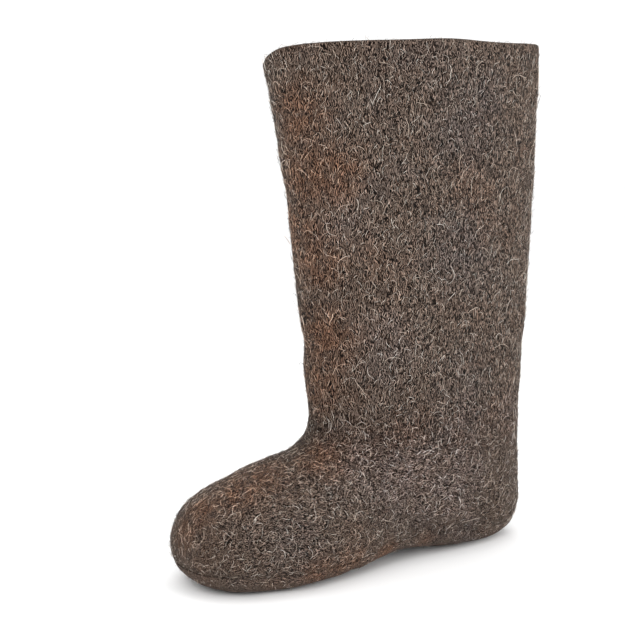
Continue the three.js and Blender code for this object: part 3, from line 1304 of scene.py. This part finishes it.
@dataclass(frozen=True)
class HairFinish:
    """Loose wool hairs of several tones, told apart by the tone attribute.

    Attributes:
        name: the material's name.
        tones: colours with the share of the hairs up to which each goes.
        patches: where the wool is warmer or cooler, and where shade and light are painted on it.
        mottle_scale: how fine the pattern is that darkens stretches of the hairs.
        mottle: the range of that pattern, and how much it darkens.
        mottle_colour: the colour of the dark stretches.
    """

    name: str
    tones: tuple[tuple[float, Colour], ...]
    patches: WoolPatches
    mottle_scale: float = 700.0
    mottle: Mapped = (0.35, 0.65, 0.0, 0.35)
    mottle_colour: Colour = (0.008, 0.005, 0.004)
    roughness: float = 0.5
    specular: float = 0.5

    def build(self) -> Material:
        """Builds the material.

        Returns:
            The material.
        """
        material, sketch = blank_material(self.name)
        tone = sketch.out("ShaderNodeAttribute", output="Fac", attribute_name=TONE)
        steps = sketch.add("ShaderNodeValToRGB", {"Fac": tone})
        band = steps.color_ramp
        band.interpolation = "CONSTANT"
        while len(band.elements) < len(self.tones):
            band.elements.new(0.5)
        start = 0.0
        for element, (upto, colour) in zip(band.elements, self.tones):
            element.position = start
            element.color = (*colour, 1.0)
            start = upto
        place = sketch.out("ShaderNodeTexCoord", output="Object")
        mottle = sketch.fit(sketch.noise(place, self.mottle_scale), *self.mottle)
        colour = sketch.mix(mottle, steps.outputs["Color"], self.mottle_colour)
        # The same tint paints shade and light onto the hairs.
        colour = sketch.times(colour, self.patches.tint(sketch, place))
        shader = sketch.add("ShaderNodeBsdfPrincipled", {
            "Base Color": colour, "Roughness": self.roughness, "Specular IOR Level": self.specular,
        })
        sketch.add("ShaderNodeOutputMaterial", {"Surface": shader.outputs["BSDF"]})
        return material


# Hairs


class HairKind(Enum):
    """The hairs that stand out of the felt."""

    NAP = "nap"
    STRAND = "strand"
    CURL = "curl"


class Growth(Enum):
    """The places where hairs grow, by the name of the attribute that holds how densely."""

    SHAFT_TOP = "grows_shaft_top"
    SHAFT_LOW = "grows_shaft_low"
    FOOT = "grows_foot"
    LOOSE_SHAFT = "curls_shaft_here"
    LOOSE_FOOT = "curls_foot_here"


@dataclass(frozen=True)
class HairShape:
    """The shape that a kind of hair has.

    Attributes:
        length: from root to tip, along its line, in millimetres.
        thickness: across its middle.
        bends: how many straight stretches it has.
        curl: how strongly it winds from side to side, in radians a stretch.
        arch: how strongly it bends back down to the felt, in radians.
        variants: how many different ones are made.
    """

    length: float
    thickness: float
    bends: int
    curl: float
    arch: float
    variants: int


class HairStock:
    """Different hairs of one kind, ready to be scattered."""

    sides: ClassVar[int] = 3
    spread: ClassVar[Span] = (0.7, 1.25)
    heading_spread: ClassVar[float] = 0.3
    turn_memory: ClassVar[float] = 0.55
    taper_start: ClassVar[float] = 0.18
    taper_run: ClassVar[float] = 0.64
    taper_power: ClassVar[float] = 0.5

    def __init__(self, kind: HairKind, shape: HairShape, seed: int) -> None:
        """Makes the hairs and puts them in a collection of their own.

        Args:
            kind: the kind of hair.
            shape: its shape.
            seed: the seed of what differs between them.
        """
        self.shape = shape
        self.collection = bpy.data.collections.new(f"{kind.value}_stock")
        rng = np.random.default_rng(seed)
        for index in range(shape.variants):
            points, faces = self._hair(rng)
            hair = new_object(f"{kind.value}_{index:02d}", points * MM, faces)
            hair.data.shade_smooth()
            bpy.context.scene.collection.objects.unlink(hair)
            self.collection.objects.link(hair)

    def _line(self, rng: np.random.Generator) -> np.ndarray:
        """Draws the middle line of one hair, which starts along +X.

        Args:
            rng: where the random numbers come from.

        Returns:
            Points by (x, y, z), in millimetres.
        """
        shape = self.shape
        step = shape.length / shape.bends
        heading = rng.uniform(-self.heading_spread, self.heading_spread)
        turn = rng.normal(0.0, shape.curl)
        rise = shape.arch / 2
        points = [np.zeros(3)]
        for _ in range(shape.bends):
            direction = np.array([
                math.cos(heading) * math.cos(rise), math.sin(heading) * math.cos(rise), math.sin(rise),
            ])
            points.append(points[-1] + direction * step)
            turn = self.turn_memory * turn + rng.normal(0.0, shape.curl)
            heading += turn
            rise -= shape.arch / shape.bends
        return np.array(points)

    def _hair(self, rng: np.random.Generator) -> tuple[np.ndarray, Faces]:
        """Makes one closed hair that tapers at both ends.

        Args:
            rng: where the random numbers come from.

        Returns:
            Its points, in millimetres, and its faces.
        """
        line = self._line(rng)
        count = len(line) - 2
        radius = self.shape.thickness / 2 * rng.uniform(*self.spread)
        points = [line[0]]
        for index in range(1, count + 1):
            ahead = line[index + 1] - line[index - 1]
            ahead /= np.linalg.norm(ahead)
            level = np.cross(ahead, [0.0, 0.0, 1.0])
            level /= np.linalg.norm(level)
            lift = np.cross(level, ahead)
            part = self.taper_start + self.taper_run * index / (count + 1)
            taper = math.sin(math.pi * part) ** self.taper_power
            for side in range(self.sides):
                angle = 2 * math.pi * side / self.sides
                outward = math.cos(angle) * level + math.sin(angle) * lift
                points.append(line[index] + radius * taper * outward)
        points.append(line[-1])
        tip = len(points) - 1
        faces: Faces = []
        for side in range(self.sides):
            after = (side + 1) % self.sides
            faces.append((0, 1 + side, 1 + after))
            for ring in range(count - 1):
                a, b = 1 + ring * self.sides, 1 + (ring + 1) * self.sides
                faces.append((a + side, b + side, b + after, a + after))
            last = 1 + (count - 1) * self.sides
            faces.append((tip, last + after, last + side))
        return np.array(points), faces

    def clear(self) -> None:
        """Removes the hairs once they have been scattered."""
        for hair in list(self.collection.objects):
            remove_object(hair)
        bpy.data.collections.remove(self.collection)


@dataclass(frozen=True)
class HairCover:
    """How hairs lie on one part of the boot.

    Attributes:
        name: the name of the finished piece.
        kind: the kind of hair.
        growth: where they grow.
        density: hairs to the square metre.
        spread: how far they turn from the lie of the felt, in radians.
        lift: the least and the most that they rise from the surface, in radians.
        roll: how far they turn about their own length, in radians.
        size: the least and the greatest scale.
        seed: the seed of everything random.
        on_sole: whether they grow on the sole, and not on the upper.
    """

    name: str
    kind: HairKind
    growth: Growth
    density: float
    spread: float
    lift: Span
    roll: float
    size: Span
    seed: int
    on_sole: bool = False


class HairScatter:
    """The node tree that scatters hairs over a piece of felt along its lie.

    Roots that lie too close to one another are left out, so more are drawn than are kept.
    """

    evenness: ClassVar[float] = 0.55
    surplus: ClassVar[float] = 2.2
    inputs: ClassVar[dict[str, str]] = {
        "Density": "NodeSocketFloat",
        "Spread": "NodeSocketFloat",
        "Lift Least": "NodeSocketFloat",
        "Lift Most": "NodeSocketFloat",
        "Roll": "NodeSocketFloat",
        "Size Least": "NodeSocketFloat",
        "Size Most": "NodeSocketFloat",
        "Seed": "NodeSocketInt",
        "Stock": "NodeSocketCollection",
        "Finish": "NodeSocketMaterial",
    }

    def __init__(self, growth: Growth, variants: int) -> None:
        """Builds the tree for one place of growth.

        Args:
            growth: where the hairs grow.
            variants: how many different hairs there are to choose from.
        """
        self.tree = bpy.data.node_groups.new("hair_scatter", "GeometryNodeTree")
        self.ids: dict[str, str] = {}
        face = self.tree.interface
        face.new_socket("Geometry", in_out="INPUT", socket_type="NodeSocketGeometry")
        for name, kind in self.inputs.items():
            self.ids[name] = face.new_socket(name, in_out="INPUT", socket_type=kind).identifier
        face.new_socket("Geometry", in_out="OUTPUT", socket_type="NodeSocketGeometry")
        self._write(growth, variants)

    def _write(self, growth: Growth, variants: int) -> None:
        """Adds the nodes.

        Args:
            growth: where the hairs grow.
            variants: how many different hairs there are to choose from.
        """
        sketch = Sketch(self.tree)
        given = sketch.add("NodeGroupInput")
        draws = itertools.count(1)

        def random(low: object, high: object, kind: str = "FLOAT") -> Socket:
            """Draws a random value for each hair, from a draw of its own.

            Args:
                low: the least value.
                high: the greatest value.
                kind: FLOAT or INT.

            Returns:
                The value.
            """
            seed = sketch.maths("ADD", given.outputs["Seed"], float(next(draws)))
            return sketch.out("FunctionNodeRandomValue", {"Min": low, "Max": high, "Seed": seed},
                              output="Value", data_type=kind)

        grows = sketch.out("GeometryNodeInputNamedAttribute", {"Name": growth.value}, output="Attribute",
                           data_type="FLOAT")
        lie = sketch.out("GeometryNodeInputNamedAttribute", {"Name": LIE}, output="Attribute",
                         data_type="FLOAT_VECTOR")
        spacing = sketch.maths("SQRT", sketch.maths("DIVIDE", self.evenness, given.outputs["Density"]))
        roots = sketch.add("GeometryNodeDistributePointsOnFaces", distribute_method="POISSON")
        for name, value in {
            "Mesh": given.outputs["Geometry"], "Distance Min": spacing,
            "Density Max": sketch.maths("MULTIPLY", given.outputs["Density"], self.surplus),
            "Density Factor": grows, "Seed": given.outputs["Seed"],
        }.items():
            self.tree.links.new(value, sketch.socket(roots.inputs, name))
        standing = sketch.out("FunctionNodeAlignRotationToVector", {"Vector": roots.outputs["Normal"]},
                              axis="Z")
        combed = sketch.out("FunctionNodeAlignRotationToVector", {"Rotation": standing, "Vector": lie},
                            axis="X", pivot_axis="Z")
        turn = sketch.maths("MULTIPLY", sketch.maths("ADD", random(-1.0, 1.0), random(-1.0, 1.0)),
                            given.outputs["Spread"])
        turned = self._rotated(sketch, combed, "Z", turn)
        lift = random(given.outputs["Lift Least"], given.outputs["Lift Most"])
        lifted = self._rotated(sketch, turned, "Y", sketch.maths("MULTIPLY", lift, -1.0))
        roll = sketch.maths("MULTIPLY", random(-1.0, 1.0), given.outputs["Roll"])
        rolled = self._rotated(sketch, lifted, "X", roll)
        stock = sketch.out("GeometryNodeCollectionInfo", {
            "Collection": given.outputs["Stock"], "Separate Children": True, "Reset Children": True,
        })
        hairs = sketch.out("GeometryNodeInstanceOnPoints", {
            "Points": roots.outputs["Points"], "Instance": stock, "Pick Instance": True,
            "Instance Index": random(0, variants - 1, "INT"), "Rotation": rolled,
            "Scale": random(given.outputs["Size Least"], given.outputs["Size Most"]),
        })
        toned = sketch.out("GeometryNodeStoreNamedAttribute", {
            "Geometry": hairs, "Name": TONE, "Value": random(0.0, 1.0),
        }, data_type="FLOAT", domain="INSTANCE")
        real = sketch.out("GeometryNodeRealizeInstances", {"Geometry": toned})
        dressed = sketch.out("GeometryNodeSetMaterial", {
            "Geometry": real, "Material": given.outputs["Finish"],
        })
        sketch.add("NodeGroupOutput", {"Geometry": dressed})

    @staticmethod
    def _rotated(sketch: Sketch, rotation: Socket, axis: str,
                 angle: Socket) -> Socket:
        """Turns a rotation about one of its own axes.

        Args:
            sketch: the node tree that it is written in.
            rotation: the rotation.
            axis: X, Y or Z.
            angle: how far it turns, in radians.

        Returns:
            The new rotation.
        """
        euler = sketch.out("ShaderNodeCombineXYZ", {axis: angle})
        by = sketch.out("FunctionNodeEulerToRotation", {0: euler})
        return sketch.out("FunctionNodeRotateRotation", {"Rotation": rotation, "Rotate By": by},
                          rotation_space="LOCAL")

    def grow(self, felt: Piece, cover: HairCover, stock: HairStock,
             finish: Material) -> Piece:
        """Scatters hairs over a piece of felt.

        Args:
            felt: the piece they grow on.
            cover: how they lie.
            stock: the hairs to choose from.
            finish: their material.

        Returns:
            The hairs as one plain mesh.
        """
        host = bpy.data.objects.new("hair_host", felt.data)
        bpy.context.scene.collection.objects.link(host)
        modifier = host.modifiers.new("hairs", "NODES")
        modifier.node_group = self.tree
        lift_least, lift_most = cover.lift
        size_least, size_most = cover.size
        values = {
            "Density": cover.density,
            "Spread": cover.spread,
            "Lift Least": lift_least,
            "Lift Most": lift_most,
            "Roll": cover.roll,
            "Size Least": size_least,
            "Size Most": size_most,
            "Seed": cover.seed,
            "Stock": stock.collection,
            "Finish": finish,
        }
        for name, value in values.items():
            modifier[self.ids[name]] = value
        hairs = plain_copy(host, cover.name)
        bpy.data.objects.remove(host)
        points = vertex_array(hairs.data)
        points[:, 2] = np.maximum(points[:, 2], 0.0)
        hairs.data.vertices.foreach_set("co", points.astype(np.float32).ravel())
        hairs.data.update()
        return hairs


@dataclass(frozen=True)
class HairZones:
    """Where hairs grow, in millimetres where nothing else is said. A pair is the range of a soft step.

    Attributes:
        lie_turn: the heights over which the lie turns from along the foot to up the shaft.
        lie_along: how strongly the hairs of the foot point towards the heel.
        lie_up: how strongly they point upwards.
        skin: how far behind the smooth outside the hairs end, so that the inside is bare.
        rim: the heights over which the turned rim gets hairs too.
        ground_height: below this, faces that look down are barer.
        ground_level: how far down they look, as a share.
        ground_loss: the share of hairs that is missing there.
        ledge_height: below this, faces that look up are bare.
        ledge_level: how far up they look, as a share.
        edge: the heights over which the hairs thin out at the collar.
        edge_loss: the share of hairs that is missing there.
        ankle: the heights between the foot's hairs and the shaft's.
        middle: the heights between the lower and the upper half of the shaft.
        loose_end: the heights over which loose hairs end at the collar.
        loose_start: the heights over which they start above the floor.
    """

    lie_turn: Span = (60.0, 130.0)
    lie_along: float = 0.9
    lie_up: float = 0.4
    skin: Span = (-0.6, -0.2)
    rim: Span = (335.0, 372.0)
    ground_height: float = 12.0
    ground_level: Span = (0.6, 0.95)
    ground_loss: float = 0.75
    ledge_height: float = 25.0
    ledge_level: Span = (0.6, 0.9)
    edge: Span = (358.0, 370.0)
    edge_loss: float = 0.8
    ankle: Span = (119.0, 121.0)
    middle: Span = (246.0, 248.0)
    loose_end: Span = (350.0, 362.0)
    loose_start: Span = (12.0, 30.0)

    def lie(self, up: np.ndarray) -> np.ndarray:
        """Works out which way the felt lies.

        Args:
            up: the heights of the points.

        Returns:
            A unit vector for each point.
        """
        on_shaft = ramp(up, *self.lie_turn)
        lie = np.zeros((len(up), 3))
        lie[:, 1] = self.lie_along * (1.0 - on_shaft)
        lie[:, 2] = self.lie_up + (1.0 - self.lie_up) * on_shaft
        return lie / np.linalg.norm(lie, axis=1)[:, None]

    def cover(self, up: np.ndarray, away: np.ndarray, level: np.ndarray) -> dict[Growth, np.ndarray]:
        """Works out how densely hairs grow.

        Args:
            up: the heights of the points.
            away: how far they are from the smooth outside.
            level: how far their normals point upwards, from -1 to 1.

        Returns:
            For each place of growth a share from 0 to 1 at every point.
        """
        on_skin = ramp(-away, *self.skin)
        cover = np.maximum(on_skin, ramp(up, *self.rim))
        on_ground = 1.0 - self.ground_loss * ramp(-level, *self.ground_level)
        cover = cover * np.where(up < self.ground_height, on_ground, 1.0)
        cover = cover * np.where(up < self.ledge_height, 1.0 - ramp(level, *self.ledge_level), 1.0)
        cover = cover * (1.0 - self.edge_loss * ramp(up, *self.edge))
        loose = on_skin * (1.0 - ramp(up, *self.loose_end)) * ramp(up, *self.loose_start)
        shaft = ramp(up, *self.ankle)
        top = ramp(up, *self.middle)
        return {
            Growth.SHAFT_TOP: cover * shaft * top,
            Growth.SHAFT_LOW: cover * shaft * (1.0 - top),
            Growth.FOOT: cover * (1.0 - shaft),
            Growth.LOOSE_SHAFT: loose * shaft,
            Growth.LOOSE_FOOT: loose * (1.0 - shaft),
        }


@dataclass(frozen=True)
class HairPlan:
    """The hairs of the boot: a shape and a seed for each kind, and how they lie on each part.

    Attributes:
        high: the range of lift of the nap, in radians.
        low: the range of lift of the strands and curls, in radians.
        size: the range of scale of nap and strands.
        shaft_curl: the range of scale of the curls on the shaft.
        foot_curl: the range of scale of the curls on the foot.
        nap: how dense the nap is on the upper, in hairs to the square metre, as are the next four.
        sole_nap: how dense it is on the sole.
        strands: how dense the strands are on the upper.
        sole_strands: how dense they are on the sole.
        curls: how dense the curls are.
    """

    shapes: ClassVar[dict[HairKind, tuple[HairShape, int]]] = {
        HairKind.NAP: (
            HairShape(length=4.6, thickness=0.17, bends=3, curl=0.5, arch=0.3, variants=24), 3,
        ),
        HairKind.STRAND: (
            HairShape(length=5.6, thickness=0.16, bends=4, curl=0.42, arch=0.15, variants=40), 4,
        ),
        HairKind.CURL: (
            HairShape(length=13.0, thickness=0.21, bends=7, curl=0.3, arch=0.15, variants=24), 5,
        ),
    }
    high: Span = (-0.05, 0.35)
    low: Span = (-0.05, 0.08)
    size: Span = (0.45, 1.3)
    shaft_curl: Span = (0.4, 1.5)
    foot_curl: Span = (0.4, 1.2)
    nap: float = 100000.0
    sole_nap: float = 80000.0
    strands: float = 135000.0
    sole_strands: float = 95000.0
    curls: float = 8000.0

    def covers(self) -> tuple[HairCover, ...]:
        """Lists the covers of hair, in the order in which they are made.

        Returns:
            One cover for each piece.
        """
        top, low, foot = Growth.SHAFT_TOP, Growth.SHAFT_LOW, Growth.FOOT
        nap, strand, curl = HairKind.NAP, HairKind.STRAND, HairKind.CURL
        loose_shaft, loose_foot = Growth.LOOSE_SHAFT, Growth.LOOSE_FOOT
        high, flat, size = self.high, self.low, self.size
        return (
            HairCover("nap_shaft_top", nap, top, self.nap, 0.5, high, 0.8, size, 21),
            HairCover("nap_shaft_low", nap, low, self.nap, 0.5, high, 0.8, size, 22),
            HairCover("nap_foot", nap, foot, self.nap, 0.9, high, 0.8, size, 23),
            HairCover("nap_sole", nap, foot, self.sole_nap, 0.9, high, 0.8, size, 24, True),
            HairCover("strands_top", strand, top, self.strands, 0.45, flat, 0.3, size, 27),
            HairCover("strands_low", strand, low, self.strands, 0.45, flat, 0.3, size, 28),
            HairCover("strands_foot", strand, foot, self.strands, 1.1, flat, 0.3, size, 29),
            HairCover("strands_sole", strand, foot, self.sole_strands, 1.0, flat, 0.3, size, 30, True),
            HairCover("curls_shaft", curl, loose_shaft, self.curls, 0.8, flat, 0.2, self.shaft_curl, 25),
            HairCover("curls_foot", curl, loose_foot, self.curls, 1.2, flat, 0.2, self.foot_curl, 26),
        )


# The boot


@dataclass
class FeltBoot:
    """The boot: its three pieces of felt, and the hairs on them."""

    form: BootForm
    zones: HairZones = HairZones()
    plan: HairPlan = HairPlan()
    outer_spacing: float = 2.5
    outer_points: int = 150
    inner_spacing: float = 5.0
    inner_points: int = 80
    sole_spacing: float = 3.0
    sole_points: int = 130
    insole_spacing: float = 4.0
    insole_points: int = 90
    inner_relief: float = 0.5
    overshoot: float = 8.0
    deep: float = -30.0
    sharp_angle: float = 50.0
    pieces: list[Piece] = field(default_factory=list)

    def __post_init__(self) -> None:
        """Prepares the shell that every piece is cut from."""
        self.shell = FeltShell(self.form, FeltRelief(self.form))

    def _under(self, along: np.ndarray) -> np.ndarray:
        """Returns a height well below the boot."""
        return np.full(len(along), self.deep)

    def upper(self, finish: Material) -> Piece:
        """Builds the upper: foot and shaft in one, hollow, open at the collar and underneath.

        Args:
            finish: its material.

        Returns:
            The upper.
        """
        shell = self.shell
        rim = shell.rim_radius
        outside = shell.solid("outside", 0.0, self.outer_spacing, self.outer_points, rim=rim)
        inside = shell.solid("inside", shell.wall, self.inner_spacing, self.inner_points, rim=-rim,
                             relief=self.inner_relief, overshoot=self.overshoot)
        below = shell.slab("below", self._under, shell.seat)
        skin = skin_of(outside)
        upper = shell.cut(outside, "upper_felt", [(inside, "DIFFERENCE"), (below, "DIFFERENCE")])
        return self._finish(upper, finish, "upper", skin)

    def sole(self, finish: Material) -> Piece:
        """Builds the thick felt sole.

        Args:
            finish: its material.

        Returns:
            The sole.
        """
        shell = self.shell
        whole = shell.solid("sole_form", -shell.sole_step, self.sole_spacing, self.sole_points)
        layer = shell.slab("sole_layer", self._under, shell.feather)
        skin = skin_of(whole)
        sole = shell.cut(whole, "sole_felt", [(layer, "INTERSECT")])
        return self._finish(sole, finish, "sole", skin)

    def insole(self, finish: Material) -> Piece:
        """Builds the loose insole that lies on the sole.

        Args:
            finish: its material.

        Returns:
            The insole.
        """
        shell = self.shell
        inset = shell.wall + shell.insole_clearance
        whole = shell.solid("insole_form", inset, self.insole_spacing, self.insole_points,
                            relief=self.inner_relief)
        layer = shell.slab("insole_layer", shell.seat, shell.insole_top)
        skin = skin_of(whole)
        insole = shell.cut(whole, "insole_felt", [(layer, "INTERSECT")])
        return self._finish(insole, finish, "insole", skin)

    def _finish(self, piece: Piece, finish: Material, node: str,
                skin: BVHTree) -> Piece:
        """Dresses a piece of felt and lets it stand for its solid.

        Args:
            piece: the piece.
            finish: its material.
            node: the solid that it replaces.
            skin: the smooth outside that it was cut from.

        Returns:
            The piece.
        """
        piece.data.materials.clear()
        piece.data.materials.append(finish)
        smooth(piece, self.sharp_angle)
        self._mark(piece, skin)
        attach(piece, "root")
        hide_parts(node)
        self.pieces.append(piece)
        return piece

    def _mark(self, piece: Piece, skin: BVHTree) -> None:
        """Writes on a piece how its felt lies and where hairs grow.

        Args:
            piece: the piece.
            skin: the smooth outside that it was cut from.
        """
        mesh = piece.data
        up = (vertex_array(mesh) / MM)[:, 2]
        self._write(mesh, LIE, "FLOAT_VECTOR", self.zones.lie(up))
        away = np.array([skin.find_nearest(vertex.co)[3] for vertex in mesh.vertices]) / MM
        normals = np.empty(len(mesh.vertices) * 3, np.float32)
        mesh.vertices.foreach_get("normal", normals)
        level = normals.reshape(-1, 3)[:, 2]
        for growth, share in self.zones.cover(up, away, level).items():
            self._write(mesh, growth.value, "FLOAT", share)
        LOG.info("%s: %d triangles", piece.name, triangle_count(piece))

    @staticmethod
    def _write(mesh: bpy.types.Mesh, name: str, kind: str, values: np.ndarray) -> None:
        """Writes one attribute on the mesh's points.

        Args:
            mesh: the mesh.
            name: the attribute's name.
            kind: FLOAT or FLOAT_VECTOR.
            values: a value or a vector for each point.
        """
        attribute = mesh.attributes.new(name, kind, "POINT")
        attribute.data.foreach_set("vector" if kind == "FLOAT_VECTOR" else "value",
                                   values.astype(np.float32).ravel())

    def hairs(self, nap_finish: Material, curl_finish: Material) -> None:
        """Grows the nap and the loose curly hairs on the upper and the sole.

        Args:
            nap_finish: the material of the nap.
            curl_finish: the material of the strands and curls.
        """
        upper, sole = self.pieces[0], self.pieces[1]
        stocks = {kind: HairStock(kind, shape, seed) for kind, (shape, seed) in self.plan.shapes.items()}
        for cover in self.plan.covers():
            felt = sole if cover.on_sole else upper
            stock = stocks[cover.kind]
            finish = nap_finish if cover.kind is HairKind.NAP else curl_finish
            hairs = HairScatter(cover.growth, stock.shape.variants).grow(felt, cover, stock, finish)
            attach(hairs, "root")
            LOG.info("%s: %d triangles", hairs.name, triangle_count(hairs))
        for stock in stocks.values():
            stock.clear()


# The studio


@dataclass(frozen=True)
class Softbox:
    """A square soft light: its place and side, in metres, and its power, in watts."""

    name: str
    place: Triple
    side: float
    power: float


@dataclass
class Studio:
    """A pale floor, soft light and the camera.

    Attributes:
        heel_y: where the back of the heel lies, in the boot's frame, in millimetres.
        camera_along: how far the camera stands towards the toe, in millimetres, as are the next two.
        camera_across: how far it stands to the side.
        camera_up: how high it stands.
        yaw: how far it is turned from straight across, in radians, as are the next two.
        pitch: how far it looks down.
        roll: how far it leans.
        focal_share: its focal length as a share of the sensor's width.
        sensor: the sensor's width, in millimetres.
        clip: the nearest and farthest that it sees, in metres.
        floor_half: half the floor's side, in metres.
        aim: the point that the lights look at, in metres.
        softboxes: the lights.
    """

    heel_y: float
    camera_along: float = 649.6
    camera_across: float = 756.4
    camera_up: float = 275.2
    yaw: float = 0.5576
    pitch: float = 0.1028
    roll: float = 0.0169
    focal_share: float = 1267.2 / 625.0
    sensor: float = 36.0
    clip: Span = (0.01, 100.0)
    floor_half: float = 30.0
    floor_colour: Colour = (0.93, 0.93, 0.93)
    floor_roughness: float = 0.9
    floor_specular: float = 0.1
    sky_strength: float = 1.1
    aim: Triple = (0.0, 0.0, 0.18)
    softboxes: tuple[Softbox, ...] = (
        Softbox("key", (1.5, -1.3, 1.5), 1.2, 24.0),
        Softbox("fill", (1.6, 0.9, 0.45), 1.2, 18.0),
        Softbox("top", (-0.3, 0.1, 2.2), 1.6, 8.0),
    )

    def camera(self) -> None:
        """Places the camera where the photograph was taken from."""
        data = bpy.data.cameras.new("camera")
        data.sensor_width = self.sensor
        data.lens = self.sensor * self.focal_share
        data.clip_start, data.clip_end = self.clip
        camera = bpy.data.objects.new("camera", data)
        bpy.context.scene.collection.objects.link(camera)
        ahead = Vector((
            -math.cos(self.yaw) * math.cos(self.pitch), math.sin(self.yaw) * math.cos(self.pitch),
            -math.sin(self.pitch),
        ))
        right = Vector((math.sin(self.yaw), math.cos(self.yaw), 0.0))
        down = ahead.cross(right)
        turned = right * math.cos(self.roll) + down * math.sin(self.roll)
        below = down * math.cos(self.roll) - right * math.sin(self.roll)
        axes = Matrix((turned, -below, -ahead)).transposed()
        place = Vector((self.camera_across, self.heel_y - self.camera_along, self.camera_up)) * MM
        camera.matrix_world = Matrix.Translation(place) @ axes.to_4x4()
        bpy.context.scene.camera = camera

    def floor(self) -> None:
        """Lays the plain pale floor."""
        half = self.floor_half
        corners = np.array([(-half, -half, 0), (half, -half, 0), (half, half, 0), (-half, half, 0)])
        floor = new_object("floor", corners, [(0, 1, 2, 3)])
        material = bpy.data.materials.new("pale_floor")
        material.use_nodes = True
        shader = material.node_tree.nodes["Principled BSDF"]
        shader.inputs["Base Color"].default_value = (*self.floor_colour, 1.0)
        shader.inputs["Roughness"].default_value = self.floor_roughness
        shader.inputs["Specular IOR Level"].default_value = self.floor_specular
        floor.data.materials.append(material)

    def _hang(self, box: Softbox) -> None:
        """Hangs a soft light that looks at the middle of the boot.

        Args:
            box: the light.
        """
        data = bpy.data.lights.new(box.name, "AREA")
        data.shape = "SQUARE"
        data.size = box.side
        data.energy = box.power
        light = bpy.data.objects.new(box.name, data)
        light.location = box.place
        aim = Vector(self.aim) - Vector(box.place)
        light.rotation_euler = aim.to_track_quat("-Z", "Y").to_euler()
        bpy.context.scene.collection.objects.link(light)

    def lights(self) -> None:
        """Sets the soft lights and the pale surroundings."""
        for box in self.softboxes:
            self._hang(box)
        world = bpy.data.worlds.new("surroundings")
        world.use_nodes = True
        background = world.node_tree.nodes["Background"]
        background.inputs["Color"].default_value = (1.0, 1.0, 1.0, 1.0)
        background.inputs["Strength"].default_value = self.sky_strength
        bpy.context.scene.world = world
        bpy.context.scene.view_settings.view_transform = "Standard"


def main() -> None:
    """Builds the boot and its studio."""
    logging.basicConfig(level=logging.INFO, format="%(name)s: %(message)s")
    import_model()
    low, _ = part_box("upper")
    heel_y = BootForm.foot_length + low.y / MM

    studio = Studio(heel_y)
    studio.camera()
    studio.floor()
    studio.lights()

    patches = WoolPatches(heel_y)
    hair_patches = WoolPatches(heel_y, cool_tint=(0.94, 0.98, 1.03))
    pale = srgb(139, 121, 109)
    upper_finish = FeltFinish(
        "felt_of_the_upper", ground=srgb(8, 4, 2), brown=srgb(61, 45, 34), grey=srgb(58, 49, 45),
        pale=pale, patches=patches,
    )
    # The sole's felt is paler than the upper's: partly its own colour, partly painted light that offsets the
    # shade under the boot's overhang.
    sole_finish = FeltFinish(
        "felt_of_the_sole", ground=srgb(18, 11, 8), brown=srgb(88, 70, 59), grey=srgb(80, 70, 65),
        pale=pale, patches=patches,
    )
    insole_finish = FeltFinish(
        "felt_of_the_insole", ground=srgb(58, 54, 50), brown=srgb(132, 124, 115), grey=srgb(120, 118, 116),
        pale=srgb(205, 198, 188), patches=patches,
    )
    nap_finish = HairFinish("wool_nap", (
        (0.25, srgb(10, 5, 2)),
        (0.5, srgb(78, 60, 48)),
        (0.55, srgb(110, 70, 50)),
        (0.7, srgb(134, 118, 106)),
        (0.9, srgb(206, 190, 176)),
        (1.0, srgb(250, 239, 225)),
    ), hair_patches)
    curl_finish = HairFinish("loose_wool_hairs", (
        (0.24, srgb(8, 4, 2)),
        (0.5, srgb(104, 86, 74)),
        (0.78, srgb(224, 206, 188)),
        (1.0, srgb(255, 246, 234)),
    ), hair_patches)

    boot = FeltBoot(BootForm(heel_y))
    boot.upper(upper_finish.build())
    boot.sole(sole_finish.build())
    boot.insole(insole_finish.build())
    boot.hairs(nap_finish.build(), curl_finish.build())


if __name__ == "__main__":
    main()
